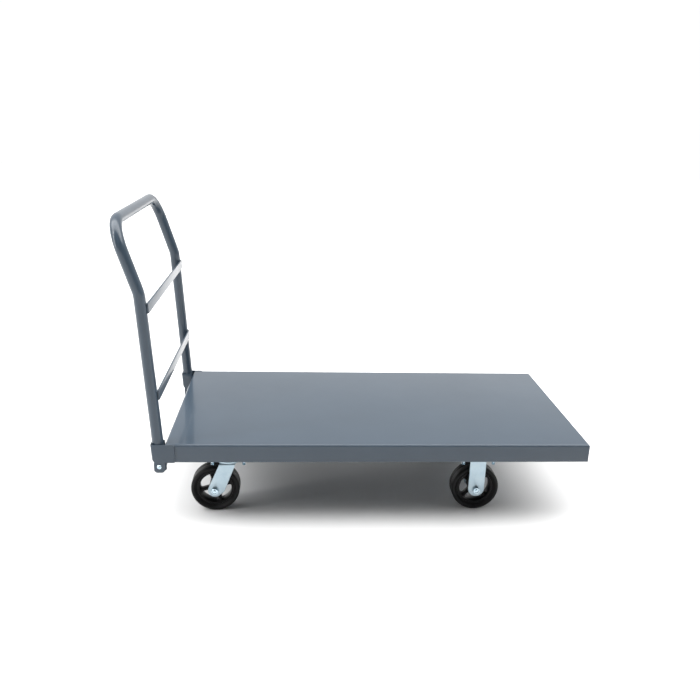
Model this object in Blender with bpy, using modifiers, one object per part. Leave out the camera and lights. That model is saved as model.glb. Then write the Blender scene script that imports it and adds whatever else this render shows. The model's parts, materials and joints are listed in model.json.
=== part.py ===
"""Platform cart: a sheet-steel deck on two rigid and two swivel casters, with a lift-out push handle.

Metres. +X runs from the handle end to the free end, +Y to the pusher's left, +Z up, floor at z = 0.
Heights on the handle and its sockets are given from the deck's top face, positive upwards.
"""
import math

import bmesh
import bpy
from mathutils import Matrix, Vector

# ------------------------------------------------------------------ driving dimensions
GAP = 0.0003
CUT_MARGIN = 0.010

DECK_LENGTH = 1.2192
DECK_WIDTH = 0.6096
DECK_TOP_Z = 0.263
FLANGE_DEPTH = 0.054
DECK_SHEET = 0.0027
DECK_BEND_R = 0.0060

TUBE_R = 0.015875
TUBE_WALL = 0.0021
TUBE_INSET = 0.0161
TUBE_FOOT_OFFSET = 0.0206
LOWER_LEAN = 0.0648
UPPER_LEAN = 0.325
ELBOW_HEIGHT = 0.4277
GRIP_HEIGHT = 0.6130
ELBOW_R = 0.108
CORNER_R = 0.078
TUBE_END_HEIGHT = -0.0840

CROSSBAR_HEIGHT = 0.0265
CROSSBAR_THICK = 0.0048
CROSSBAR_END_INSET = 0.0130
CROSSBAR_LEVELS = {"crossbar_upper": 0.3880, "crossbar_lower": 0.1420}

SOCKET_SHEET = 0.0025
SOCKET_BEND_R = 0.0050
SOCKET_CLEARANCE = 0.0004
SOCKET_LAP = 0.0265
SOCKET_BOTTOM = -0.0540
SOCKET_CHAMFER_HEIGHT = 0.0090
SOCKET_CHAMFER_WIDTH = 0.0060
SOCKET_INNER_ARM_END = -0.0045
TONGUE_WIDTH = 0.0305
TONGUE_BOTTOM = -0.0855
TONGUE_CORNER_R = 0.0100
STOP_BOLT_HEIGHT = -0.0670
STOP_BOLT_R = 0.0040
STOP_HEX_AF = 0.0127
STOP_HEAD_THICK = 0.0053
STOP_NUT_THICK = 0.0075
BOLT_TAIL = 0.0030
NOTCH_HALF_WIDTH = 0.0044

SWIVEL_AXIS_X = 0.1670
SWIVEL_TRAIL = 0.0415
RIGID_AXLE_X = 0.9170
CASTER_INSET = 0.1180
CASTER_TOP_Z = 0.1840
CASTER_PLATE_LENGTH = 0.1140
CASTER_PLATE_WIDTH = 0.1020
CASTER_PLATE_THICK = 0.0060
CASTER_PLATE_CORNER_R = 0.0060

WHEEL_R = 0.0725
TYRE_WIDTH = 0.0500
TYRE_INNER_R = 0.0540
TYRE_SHOULDER = 0.0075
TYRE_CROWN_INSET = 0.0090
RIM_WIDTH = 0.0340
RIM_INNER_R = 0.0480
WEB_THICK = 0.0120
HUB_R = 0.0185
HUB_LENGTH = 0.0556
HUB_BORE_R = 0.0099
FILLET = 0.0020
SPOKE_COUNT = 4
SPOKE_WIDTH = 0.0110
SPOKE_ANGLES = {"swivel": 16.0, "rigid": 46.0}
WINDOW_INNER_R = 0.0215
WINDOW_OUTER_R = 0.0465
WINDOW_CORNER_R = 0.0050
WINDOW_INNER_CORNER_R = 0.0018

FORK_SHEET = 0.0055
FORK_INNER_HALF = 0.0290
FORK_BEND_R = 0.0090
FORK_LEG_DROP = 0.0335
RIGID_LEG_WIDTH = 0.0490
RIGID_END_RISE = 0.0028
SWIVEL_CROWN_Z = 0.1640
SWIVEL_END_R = 0.0205
SWIVEL_REAR_RAKE = 67.0
SWIVEL_FRONT_RAKE = 69.2
SWIVEL_TOE_RAKE = 40.0
SWIVEL_HEEL_X = 0.0280
SWIVEL_HEEL_Z = -0.0033
SWIVEL_HEEL_R = 0.0120

RACE_R = 0.0430
RACE_LIP_R = 0.0370
RACE_BORE_R = 0.0200
RACE_CHAMFER = 0.0015
RACE_LIP_DROP = 0.0035
KINGPIN_R = 0.0060
KINGPIN_HEAD_R = 0.0110
KINGPIN_HEAD_THICK = 0.0040
KINGPIN_END_Z = 0.1460
KINGPIN_NUT_AF = 0.0190
KINGPIN_NUT_THICK = 0.0100

AXLE_R = 0.00635
AXLE_HEX_AF = 0.0190
AXLE_HEAD_THICK = 0.0080
AXLE_NUT_THICK = 0.0110
BUSHING_R = 0.0095
SHAFT_CLEARANCE = 0.0003

BOLSTER_HALF = 0.0650
BOLSTER_INSET = 0.0600
STIFFENER_HALF = 0.0320
STIFFENER_BOTTOM_Z = 0.2150
STIFFENER_INSET = 0.0060
STIFFENER_XS = {"cross_stiffener_handle_end": 0.4200, "cross_stiffener_free_end": 0.6650}
CHANNEL_SHEET = 0.0030
CHANNEL_LIP = 0.0220
CHANNEL_BEND_R = 0.0050

# How finely round stretches are drawn
BEND_STEPS = 4
TUBE_BEVEL_RESOLUTION = 6
ELBOW_STEPS = 4
CORNER_STEPS = 8
TYRE_STEPS = 36
CORE_STEPS = 28
RACE_STEPS = 28
SHAFT_SIDES = 16
HALF_TURN_STEPS = 12
WELD_DISTANCE = 0.00001

# ------------------------------------------------------------------ derived values
HANDLE_REACH = (TUBE_FOOT_OFFSET + LOWER_LEAN * ELBOW_HEIGHT
                + UPPER_LEAN * (GRIP_HEIGHT - ELBOW_HEIGHT) + TUBE_R)
DECK_END_X = (HANDLE_REACH - DECK_LENGTH) / 2.0
DECK_HALF_Y = DECK_WIDTH / 2.0
CASTER_Y = DECK_HALF_Y - CASTER_INSET
TUBE_Y = DECK_HALF_Y - TUBE_INSET
LEAN_ANGLE = math.atan(LOWER_LEAN)
FORK_OUTER_HALF = FORK_INNER_HALF + FORK_SHEET
SIDES = {"right": -1.0, "left": 1.0}
HEX_SIDES = 6

# An extruded outline stands on its plane; its thickness runs along the third axis.
QUARTER = math.radians(90.0)
PLANE_TURNS = {"XY": (0.0, 0.0, 0.0), "XZ": (QUARTER, 0.0, 0.0), "YZ": (QUARTER, 0.0, QUARTER)}
AXIS_TURNS = {"Y": (-QUARTER, 0.0, 0.0), "Z": (0.0, 0.0, 0.0)}
AXIS_VECTORS = {"Y": Vector((0.0, 1.0, 0.0)), "Z": Vector((0.0, 0.0, 1.0))}

PAINT = ("paint_blue_grey", (0.10, 0.13, 0.16, 1.0), 0.0, 0.35)
ZINC = ("zinc_bright", (0.62, 0.68, 0.72, 1.0), 1.0, 0.30)
RUBBER = ("tyre_rubber", (0.012, 0.012, 0.012, 1.0), 0.0, 0.60)
IRON = ("core_cast_iron", (0.015, 0.015, 0.016, 1.0), 0.3, 0.45)
STEEL = ("bushing_steel", (0.40, 0.40, 0.40, 1.0), 1.0, 0.35)


# ------------------------------------------------------------------ scene helpers
def clear_scene():
    """Remove every object already in the file."""
    for obj in list(bpy.data.objects):
        bpy.data.objects.remove(obj, do_unlink=True)


def new_collection(name, hidden):
    """Make a collection in the scene; cutters go in one hidden from renders."""
    collection = bpy.data.collections.new(name)
    bpy.context.scene.collection.children.link(collection)
    collection.hide_render = hidden
    return collection


def joint_empty(name, location, parent=None):
    """Empty on a joint's axis, which the pieces of one moving body hang from."""
    empty = bpy.data.objects.new(name, None)
    empty.empty_display_size = 0.05
    empty.location = location
    PARTS.objects.link(empty)
    if parent is not None:
        attach(empty, parent)
    bpy.context.view_layer.update()
    return empty


def attach(obj, parent):
    """Parent an object to an empty and leave it where it stands."""
    obj.parent = parent
    obj.matrix_parent_inverse = parent.matrix_world.inverted()


def new_material(object_name, spec):
    """One Principled material for each sub-part."""
    slot, colour, metallic, roughness = spec
    material = bpy.data.materials.new(slot + "_" + object_name)
    material.use_nodes = True
    shader = material.node_tree.nodes["Principled BSDF"]
    shader.inputs["Base Color"].default_value = colour
    shader.inputs["Metallic"].default_value = metallic
    shader.inputs["Roughness"].default_value = roughness
    return material


def part(obj, spec, parent):
    """File a finished shape as a sub-part: its material, its collection and its parent."""
    obj.data.materials.append(new_material(obj.name, spec))
    PARTS.objects.link(obj)
    attach(obj, parent)
    return obj


def boolean(target, cutter, operation):
    """File a shape as a wire-display cutter and apply it with an exact boolean."""
    cutter.hide_render = True
    cutter.display_type = "WIRE"
    CUTTERS.objects.link(cutter)
    modifier = target.modifiers.new(cutter.name, "BOOLEAN")
    modifier.operation = operation
    modifier.solver = "EXACT"
    modifier.object = cutter


# ------------------------------------------------------------------ shape helpers
def shape(name, bm):
    """Object made from a bmesh, its round faces shaded smooth."""
    mesh = bpy.data.meshes.new(name)
    bm.to_mesh(mesh)
    bm.free()
    mesh.shade_smooth()
    mesh.set_sharp_from_angle(angle=math.radians(35.0))
    return bpy.data.objects.new(name, mesh)


def block(name, size, centre, tilt=0.0):
    """Rectangular block, tilted about Y."""
    bm = bmesh.new()
    bmesh.ops.create_cube(bm, size=1.0)
    bmesh.ops.scale(bm, vec=size, verts=bm.verts)
    obj = shape(name, bm)
    obj.location = centre
    obj.rotation_euler.y = tilt
    return obj


def bar(name, radius, length, centre, axis, sides=SHAFT_SIDES):
    """Round bar, or a hexagonal one with six sides, along Y or Z."""
    bm = bmesh.new()
    bmesh.ops.create_cone(bm, cap_ends=True, segments=sides, radius1=radius, radius2=radius, depth=length)
    obj = shape(name, bm)
    obj.location = centre
    obj.rotation_euler = AXIS_TURNS[axis]
    return obj


def turned(name, profile, steps, axis, centre):
    """Shape turned about Y or Z from (radius, along-axis) corners.

    The corners run down the outer side. They close into a loop unless the first lies on the axis.
    """
    closed = profile[0][0] > 0.0
    edges = [(index, index + 1) for index in range(len(profile) - 1)]
    if closed:
        edges.append((len(profile) - 1, 0))
    mesh = bpy.data.meshes.new(name)
    mesh.from_pydata([(radius, 0.0, along) for radius, along in profile], edges, [])
    obj = bpy.data.objects.new(name, mesh)
    obj.location = centre
    obj.rotation_euler = AXIS_TURNS[axis]
    screw = obj.modifiers.new("turn", "SCREW")
    screw.steps = steps
    screw.render_steps = steps
    screw.use_merge_vertices = not closed
    screw.merge_threshold = WELD_DISTANCE
    return obj


def extruded(name, outlines, thickness, plane, centre):
    """Closed outlines drawn as one 2D curve on a plane through `centre` and extruded evenly about it."""
    curve = bpy.data.curves.new(name, "CURVE")
    curve.dimensions = "2D"
    curve.fill_mode = "BOTH"
    curve.extrude = thickness / 2.0
    for outline in outlines:
        add_spline(curve, [(point.x, point.y, 0.0) for point in outline], True)
    return meshed(name, curve, centre, PLANE_TURNS[plane])


def add_spline(curve, points, cyclic):
    """Straight-run spline through a list of points."""
    spline = curve.splines.new("POLY")
    spline.points.add(len(points) - 1)
    for spline_point, place in zip(spline.points, points):
        spline_point.co = (*place, 1.0)
    spline.use_cyclic_u = cyclic


def meshed(name, curve, location, rotation):
    """Mesh object of a placed curve, with its caps welded on and the curve removed."""
    drawn = bpy.data.objects.new(name + "_drawn", curve)
    drawn.location = location
    drawn.rotation_euler = rotation
    CUTTERS.objects.link(drawn)
    depsgraph = bpy.context.evaluated_depsgraph_get()
    mesh = bpy.data.meshes.new_from_object(drawn.evaluated_get(depsgraph))
    bm = bmesh.new()
    bm.from_mesh(mesh)
    bpy.data.meshes.remove(mesh)
    bmesh.ops.remove_doubles(bm, verts=bm.verts, dist=WELD_DISTANCE)
    bmesh.ops.recalc_face_normals(bm, faces=bm.faces)
    obj = shape(name, bm)
    obj.matrix_world = drawn.matrix_world
    bpy.data.objects.remove(drawn, do_unlink=True)
    bpy.data.curves.remove(curve)
    return obj


def arc(centre, radius, start, end, steps):
    """Points along an arc, its angles in degrees."""
    turns = [math.radians(start + (end - start) * step / steps) for step in range(steps + 1)]
    return [Vector(centre) + Vector((math.cos(turn), math.sin(turn))) * radius for turn in turns]


def rounded_outline(corners, steps=BEND_STEPS):
    """Outline from (x, y, radius) corners; a zero radius keeps the corner sharp."""
    outline = []
    count = len(corners)
    for index, (x, y, radius) in enumerate(corners):
        here = Vector((x, y))
        before = Vector(corners[index - 1][:2]) - here
        after = Vector(corners[(index + 1) % count][:2]) - here
        if radius > 0.0:
            outline += fillet(here, before, after, radius, steps)
        else:
            outline.append(here)
    return outline


def fillet(corner, before, after, radius, steps):
    """Points that round a corner, in 2-D or 3-D, between its two directions."""
    before = before.normalized()
    after = after.normalized()
    half = before.angle(after) / 2.0
    centre = corner + (before + after).normalized() * (radius / math.sin(half))
    start = corner + before * (radius / math.tan(half)) - centre
    end = corner + after * (radius / math.tan(half)) - centre
    sweep = start.angle(end)
    points = []
    for step in range(steps + 1):
        turn = sweep * step / steps
        mixed = start * math.sin(sweep - turn) + end * math.sin(turn)
        points.append(centre + mixed / math.sin(sweep))
    return points


# ------------------------------------------------------------------ fasteners
def hex_bolt(name, axis, seat, direction, across_flats, head_thick, shank_r, length):
    """Bolt with its head's underside on `seat` and its shank running `length` along `direction`."""
    along = AXIS_VECTORS[axis] * direction
    seat = Vector(seat)
    corner_r = across_flats / math.sqrt(3.0)
    bolt = bar(name, corner_r, head_thick, seat - along * head_thick / 2.0, axis, HEX_SIDES)
    buried = head_thick / 2.0
    middle = seat + along * (length - buried) / 2.0
    shank = bar(name + "_shank", shank_r, length + buried, middle, axis)
    boolean(bolt, shank, "UNION")
    return bolt


def hex_nut(name, axis, seat, direction, across_flats, thick, bore_r):
    """Bored nut standing on `seat` and reaching `thick` along `direction`."""
    middle = Vector(seat) + AXIS_VECTORS[axis] * direction * thick / 2.0
    nut = bar(name, across_flats / math.sqrt(3.0), thick, middle, axis, HEX_SIDES)
    boolean(nut, bar(name + "_bore", bore_r, thick + CUT_MARGIN, middle, axis), "DIFFERENCE")
    return nut


# ------------------------------------------------------------------ deck and channels
def build_deck():
    """Pan pressed from one sheet: flat top, four flanges turned down, welded corners."""
    bm = bmesh.new()
    bmesh.ops.create_cube(bm, size=1.0)
    bmesh.ops.scale(bm, vec=(DECK_LENGTH, DECK_WIDTH, FLANGE_DEPTH), verts=bm.verts)
    underside = [face for face in bm.faces if face.normal.z < -0.5]
    bmesh.ops.delete(bm, geom=underside, context="FACES_ONLY")
    weights = bm.edges.layers.float.new("bevel_weight_edge")
    for edge in bm.edges:
        edge[weights] = 1.0 if all(vert.co.z > 0.0 for vert in edge.verts) else 0.0
    deck = shape("deck_pan", bm)
    deck.location = (DECK_END_X + DECK_LENGTH / 2.0, 0.0, DECK_TOP_Z - FLANGE_DEPTH / 2.0)
    bend = deck.modifiers.new("bend", "BEVEL")
    bend.limit_method = "WEIGHT"
    bend.width = DECK_BEND_R
    bend.segments = BEND_STEPS
    sheet = deck.modifiers.new("sheet", "SOLIDIFY")
    sheet.thickness = DECK_SHEET
    sheet.offset = -1.0
    sheet.use_even_offset = True
    part(deck, PAINT, ROOT)


def hat_section(half, depth):
    """Outline of an upright hat channel: flat bottom, two walls, two lips under the deck at z = 0."""
    sheet = CHANNEL_SHEET
    lip = half + CHANNEL_LIP
    right = [(half, -depth, CHANNEL_BEND_R), (half, -sheet, 0.0), (lip, -sheet, 0.0),
             (lip, 0.0, 0.0), (half - sheet, 0.0, 0.0), (half - sheet, -depth + sheet, 0.0)]
    left = [(-x, z, radius) for x, z, radius in reversed(right)]
    return rounded_outline(right + left)


def build_channel(name, offset, half, bottom_z, end_inset):
    """Hat channel across the deck's underside, centred `offset` from the handle end."""
    seat = DECK_TOP_Z - DECK_SHEET - GAP
    length = DECK_WIDTH - 2.0 * end_inset
    channel = extruded(name, [hat_section(half, seat - bottom_z)], length, "XZ",
                       (DECK_END_X + offset, 0.0, seat))
    part(channel, PAINT, ROOT)


def build_channels():
    """Two deep bolsters that carry the casters and two shallow stiffeners between them."""
    bolsters = {"caster_bolster_handle_end": SWIVEL_AXIS_X, "caster_bolster_free_end": RIGID_AXLE_X}
    for name, offset in bolsters.items():
        build_channel(name, offset, BOLSTER_HALF, CASTER_TOP_Z + GAP, BOLSTER_INSET)
    for name, offset in STIFFENER_XS.items():
        build_channel(name, offset, STIFFENER_HALF, STIFFENER_BOTTOM_Z, STIFFENER_INSET)


# ------------------------------------------------------------------ handle
def tube_offset(height):
    """Distance along X from the deck's end to the straight lower tube's axis, at a height."""
    return -TUBE_FOOT_OFFSET - LOWER_LEAN * height


def handle_path():
    """Centreline of the bent tube from one foot over the grip to the other."""
    grip_x = tube_offset(ELBOW_HEIGHT) - UPPER_LEAN * (GRIP_HEIGHT - ELBOW_HEIGHT)
    one_side = [(tube_offset(TUBE_END_HEIGHT), TUBE_END_HEIGHT), (tube_offset(ELBOW_HEIGHT), ELBOW_HEIGHT),
                (grip_x, GRIP_HEIGHT)]
    right = [Vector((x, -TUBE_Y, height)) for x, height in one_side]
    left = [Vector((point.x, -point.y, point.z)) for point in reversed(right)]
    corners = right + left
    radii = (ELBOW_R, CORNER_R, CORNER_R, ELBOW_R)
    steps = (ELBOW_STEPS, CORNER_STEPS, CORNER_STEPS, ELBOW_STEPS)
    path = [corners[0]]
    for index, (radius, count) in enumerate(zip(radii, steps), start=1):
        here = corners[index]
        path += fillet(here, corners[index - 1] - here, corners[index + 1] - here, radius, count)
    return path + [corners[-1]]


def build_handle():
    """One bent tube, notched at both feet to straddle the stop bolts, with two flat crossbars."""
    curve = bpy.data.curves.new("handle_tube", "CURVE")
    curve.dimensions = "3D"
    curve.bevel_depth = TUBE_R
    curve.bevel_resolution = TUBE_BEVEL_RESOLUTION
    add_spline(curve, handle_path(), False)
    tube = meshed("handle_tube", curve, (DECK_END_X, 0.0, DECK_TOP_Z), (0.0, 0.0, 0.0))
    wall = tube.modifiers.new("wall", "SOLIDIFY")
    wall.thickness = TUBE_WALL
    wall.offset = -1.0
    wall.use_even_offset = True
    notch = extruded("cut_foot_notches", [notch_outline()], DECK_WIDTH + CUT_MARGIN, "XZ",
                     (DECK_END_X, 0.0, DECK_TOP_Z))
    boolean(tube, notch, "DIFFERENCE")
    slide = joint_empty("handle_slide", (DECK_END_X + tube_offset(0.0), 0.0, DECK_TOP_Z), ROOT)
    part(tube, PAINT, slide)
    for name, level in CROSSBAR_LEVELS.items():
        build_crossbar(name, level, slide)


def notch_outline():
    """Slot along the tube's lean, open at the foot, wide enough to pass the stop bolt."""
    centre = Vector((tube_offset(STOP_BOLT_HEIGHT), STOP_BOLT_HEIGHT))
    down = Vector((math.sin(LEAN_ANGLE), -math.cos(LEAN_ANGLE)))
    across = Vector((math.cos(LEAN_ANGLE), math.sin(LEAN_ANGLE)))
    drop = down * 2.0 * (STOP_BOLT_HEIGHT - TUBE_END_HEIGHT)
    lean = math.degrees(LEAN_ANGLE)
    crown = arc(centre, NOTCH_HALF_WIDTH, lean, lean + 180.0, HALF_TURN_STEPS)
    return crown + [centre - across * NOTCH_HALF_WIDTH + drop, centre + across * NOTCH_HALF_WIDTH + drop]


def build_crossbar(name, level, parent):
    """Flat bar across the deck side of both tubes, leaning with them."""
    reach = TUBE_R + GAP + CROSSBAR_THICK / 2.0
    centre = (DECK_END_X + tube_offset(level) + math.cos(LEAN_ANGLE) * reach, 0.0,
              DECK_TOP_Z + level + math.sin(LEAN_ANGLE) * reach)
    size = (CROSSBAR_THICK, DECK_WIDTH - 2.0 * CROSSBAR_END_INSET, CROSSBAR_HEIGHT)
    part(block(name, size, centre, -LEAN_ANGLE), PAINT, parent)


# ------------------------------------------------------------------ handle sockets
def socket_plan(sign):
    """Outline of the wrap from above: a long outer arm, a rear wall and a short inner arm.

    X is measured from the deck's handle end, Y from its side face, with the deck towards -sign.
    """
    rear_inner = -TUBE_FOOT_OFFSET - TUBE_R - SOCKET_CLEARANCE
    rear = rear_inner - SOCKET_SHEET
    outer = -GAP - SOCKET_SHEET
    inner_inner = TUBE_INSET + TUBE_R + SOCKET_CLEARANCE
    inner = inner_inner + SOCKET_SHEET
    arm_end = SOCKET_LAP + CUT_MARGIN
    bend_in = SOCKET_BEND_R - SOCKET_SHEET
    corners = [(arm_end, outer, 0.0), (arm_end, -GAP, 0.0), (rear_inner, -GAP, bend_in),
               (rear_inner, inner_inner, bend_in), (SOCKET_INNER_ARM_END, inner_inner, 0.0),
               (SOCKET_INNER_ARM_END, inner, 0.0), (rear, inner, SOCKET_BEND_R), (rear, outer, SOCKET_BEND_R)]
    return rounded_outline([(x, -sign * y, radius) for x, y, radius in corners])


def socket_side():
    """Side silhouette (X from the deck's end, height from its top): wrap, chamfer and tongue."""
    tongue_x = tube_offset(STOP_BOLT_HEIGHT)
    left = tongue_x - TONGUE_WIDTH / 2.0
    right = tongue_x + TONGUE_WIDTH / 2.0
    wall = tube_offset(SOCKET_BOTTOM) - TUBE_R - SOCKET_SHEET
    back = wall - 2.0 * CUT_MARGIN
    chamfer_top = SOCKET_BOTTOM + SOCKET_CHAMFER_HEIGHT
    corners = [(back, 0.0, 0.0), (back, chamfer_top, 0.0), (wall - FILLET / 2.0, chamfer_top, 0.0),
               (wall + SOCKET_CHAMFER_WIDTH, SOCKET_BOTTOM, 0.0), (left, SOCKET_BOTTOM - FILLET, FILLET),
               (left, TONGUE_BOTTOM, TONGUE_CORNER_R), (right, TONGUE_BOTTOM, TONGUE_CORNER_R),
               (right, SOCKET_BOTTOM - GAP, 0.0), (SOCKET_LAP, SOCKET_BOTTOM - GAP, 0.0),
               (SOCKET_LAP, 0.0, 0.0)]
    return rounded_outline(corners)


def build_socket(side, sign):
    """Sheet socket wrapped round the tube's foot and lapped over the deck's side, with its stop bolt."""
    corner = Vector((DECK_END_X, sign * DECK_HALF_Y, DECK_TOP_Z))
    height = 2.0 * CUT_MARGIN - TONGUE_BOTTOM
    socket = extruded("handle_socket_" + side, [socket_plan(sign)], height, "XY", corner)
    socket.data.transform(Matrix.Translation((0.0, 0.0, TONGUE_BOTTOM / 2.0)))
    socket.rotation_euler.y = -LEAN_ANGLE
    part(socket, PAINT, ROOT)
    inward = Vector((0.0, -sign, 0.0))
    width = 2.0 * (TUBE_INSET + TUBE_R + SOCKET_SHEET) + CUT_MARGIN
    silhouette = extruded("keep_socket_" + side, [socket_side()], width, "XZ", corner + inward * TUBE_INSET)
    boolean(socket, silhouette, "INTERSECT")
    bolt = corner + Vector((tube_offset(STOP_BOLT_HEIGHT), 0.0, STOP_BOLT_HEIGHT))
    bore = STOP_BOLT_R + SHAFT_CLEARANCE
    hole = bar("cut_socket_bolt_" + side, bore, width, bolt + inward * TUBE_INSET, "Y")
    boolean(socket, hole, "DIFFERENCE")
    outer_seat = bolt - inward * (SOCKET_SHEET + 2.0 * GAP)
    inner_seat = bolt + inward * (TUBE_INSET + TUBE_R + SOCKET_CLEARANCE + SOCKET_SHEET + GAP)
    length = (inner_seat - outer_seat).length + STOP_NUT_THICK + BOLT_TAIL
    stop_bolt = hex_bolt("stop_bolt_" + side, "Y", outer_seat, -sign, STOP_HEX_AF, STOP_HEAD_THICK,
                         STOP_BOLT_R, length)
    part(stop_bolt, ZINC, ROOT)
    stop_nut = hex_nut("stop_nut_" + side, "Y", inner_seat, -sign, STOP_HEX_AF, STOP_NUT_THICK, bore)
    part(stop_nut, ZINC, ROOT)


# ------------------------------------------------------------------ casters
def caster_plate(name, centre_x, centre_y):
    """Flat top plate of a caster."""
    half_x = CASTER_PLATE_LENGTH / 2.0
    half_y = CASTER_PLATE_WIDTH / 2.0
    corners = [(sx * half_x, sy * half_y, CASTER_PLATE_CORNER_R)
               for sx, sy in ((-1, -1), (1, -1), (1, 1), (-1, 1))]
    centre = (centre_x, centre_y, CASTER_TOP_Z - CASTER_PLATE_THICK / 2.0)
    plate = extruded(name, [rounded_outline(corners)], CASTER_PLATE_THICK, "XY", centre)
    return part(plate, ZINC, ROOT)


def fork_section(crown):
    """Downward U of bent plate, drawn across the wheel from the axle: crown and two legs."""
    outer = FORK_OUTER_HALF
    inner = FORK_INNER_HALF
    soffit = crown - FORK_SHEET
    bend_in = FORK_BEND_R - FORK_SHEET
    low = -FORK_LEG_DROP
    corners = [(-outer, low, 0.0), (-inner, low, 0.0), (-inner, soffit, bend_in), (inner, soffit, bend_in),
               (inner, low, 0.0), (outer, low, 0.0), (outer, crown, FORK_BEND_R),
               (-outer, crown, FORK_BEND_R)]
    return rounded_outline(corners)


def rigid_leg_outline():
    """Upright leg drawn from the axle, with a full-radius end a little above its centre."""
    half = RIGID_LEG_WIDTH / 2.0
    top = CASTER_TOP_Z - WHEEL_R
    end = arc((0.0, RIGID_END_RISE), half, 180.0, 360.0, HALF_TURN_STEPS)
    return [Vector((half, top)), Vector((-half, top))] + end


def swivel_leg_outline():
    """Raked, tapering leg drawn from the trailing axle: round end, angled toe, straight edges."""
    top = SWIVEL_CROWN_Z + CUT_MARGIN - WHEEL_R
    rear_rake = math.radians(SWIVEL_REAR_RAKE)
    front_rake = math.radians(SWIVEL_FRONT_RAKE)
    toe_rake = math.radians(SWIVEL_TOE_RAKE)
    end = arc((0.0, 0.0), SWIVEL_END_R, SWIVEL_REAR_RAKE + 90.0, SWIVEL_TOE_RAKE + 270.0, HALF_TURN_STEPS)
    rear_x = end[0].x + (top - end[0].y) / math.tan(rear_rake)
    heel = Vector((SWIVEL_HEEL_X, SWIVEL_HEEL_Z))
    front_x = heel.x + (top - heel.y) / math.tan(front_rake)
    to_end = -Vector((math.cos(toe_rake), math.sin(toe_rake)))
    to_top = Vector((math.cos(front_rake), math.sin(front_rake)))
    outline = end + fillet(heel, to_end, to_top, SWIVEL_HEEL_R, BEND_STEPS)
    return outline + [Vector((front_x, top)), Vector((rear_x, top))]


def build_fork(name, crown, silhouette, axle, parent):
    """Fork cut from a bent U by its side silhouette and drilled for the axle bolt."""
    length = 2.0 * max(abs(point.x) for point in silhouette) + CUT_MARGIN
    fork = extruded(name, [fork_section(crown)], length, "YZ", axle)
    part(fork, ZINC, parent)
    width = 2.0 * FORK_OUTER_HALF + CUT_MARGIN
    boolean(fork, extruded("keep_" + name, [silhouette], width, "XZ", axle), "INTERSECT")
    boolean(fork, bar("cut_axle_" + name, AXLE_R + SHAFT_CLEARANCE, width, axle, "Y"), "DIFFERENCE")
    return fork


def build_wheel(kind, prefix, axle, parent):
    """Mould-on tyre round a four-spoke cast core."""
    half = TYRE_WIDTH / 2.0
    rim = RIM_WIDTH / 2.0
    crown = half - TYRE_CROWN_INSET
    ease = half - TYRE_CROWN_INSET / 3.0
    tyre = [(TYRE_INNER_R, rim), (WHEEL_R - TYRE_SHOULDER, half), (WHEEL_R - TYRE_SHOULDER / 3.0, ease),
            (WHEEL_R, crown), (WHEEL_R, -crown), (WHEEL_R - TYRE_SHOULDER / 3.0, -ease),
            (WHEEL_R - TYRE_SHOULDER, -half), (TYRE_INNER_R, -rim)]
    part(turned(prefix + "_tyre", tyre, TYRE_STEPS, "Y", axle), RUBBER, parent)
    web = WEB_THICK / 2.0
    hub = HUB_LENGTH / 2.0
    rim_r = TYRE_INNER_R - GAP
    fillet_r = RIM_INNER_R - FILLET / 2.0
    core = [(rim_r, rim), (rim_r, -rim), (RIM_INNER_R, -rim), (fillet_r, -web), (HUB_R + FILLET, -web),
            (HUB_R, -hub), (HUB_BORE_R, -hub), (HUB_BORE_R, hub), (HUB_R, hub), (HUB_R + FILLET, web),
            (fillet_r, web), (RIM_INNER_R, rim)]
    wheel_core = part(turned(prefix + "_wheel_core", core, CORE_STEPS, "Y", axle), IRON, parent)
    pitch = 360.0 / SPOKE_COUNT
    windows = [window_outline(SPOKE_ANGLES[kind] + pitch * (index + 0.5)) for index in range(SPOKE_COUNT)]
    boolean(wheel_core, extruded("cut_windows_" + prefix, windows, 2.0 * WEB_THICK, "XZ", axle), "DIFFERENCE")


def window_outline(middle_degrees):
    """Outline of one window between neighbouring spokes, drawn from the axle."""
    middle = math.radians(middle_degrees)
    pitch = 2.0 * math.pi / SPOKE_COUNT
    corners = []
    for radius, fillet_r, order in ((WINDOW_INNER_R, WINDOW_INNER_CORNER_R, (1, -1)),
                                    (WINDOW_OUTER_R, WINDOW_CORNER_R, (-1, -0.5, 0, 0.5, 1))):
        spread = pitch / 2.0 - math.asin(SPOKE_WIDTH / 2.0 / radius)
        for place in order:
            angle = middle + spread * place
            at_corner = abs(place) == 1
            reach = radius if at_corner else radius / math.cos(spread / (len(order) - 1))
            corners.append((reach * math.cos(angle), reach * math.sin(angle), fillet_r if at_corner else 0.0))
    return rounded_outline(corners, 2)


def build_axle(prefix, axle, outward, parent):
    """Hex bolt through the fork with its nut inboard, and the bushing that the hub turns on."""
    outer_seat = axle + Vector((0.0, outward * (FORK_OUTER_HALF + GAP), 0.0))
    inner_seat = axle - Vector((0.0, outward * (FORK_OUTER_HALF + GAP), 0.0))
    length = 2.0 * (FORK_OUTER_HALF + GAP) + AXLE_NUT_THICK + BOLT_TAIL
    bolt = hex_bolt(prefix + "_axle_bolt", "Y", outer_seat, -outward, AXLE_HEX_AF, AXLE_HEAD_THICK,
                    AXLE_R, length)
    part(bolt, ZINC, parent)
    bore = AXLE_R + SHAFT_CLEARANCE
    nut = hex_nut(prefix + "_axle_nut", "Y", inner_seat, -outward, AXLE_HEX_AF, AXLE_NUT_THICK, bore)
    part(nut, ZINC, parent)
    reach = FORK_INNER_HALF - GAP
    sleeve = [(BUSHING_R, reach), (BUSHING_R, -reach), (bore, -reach), (bore, reach)]
    part(turned(prefix + "_bushing", sleeve, SHAFT_SIDES, "Y", axle), STEEL, parent)


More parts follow.
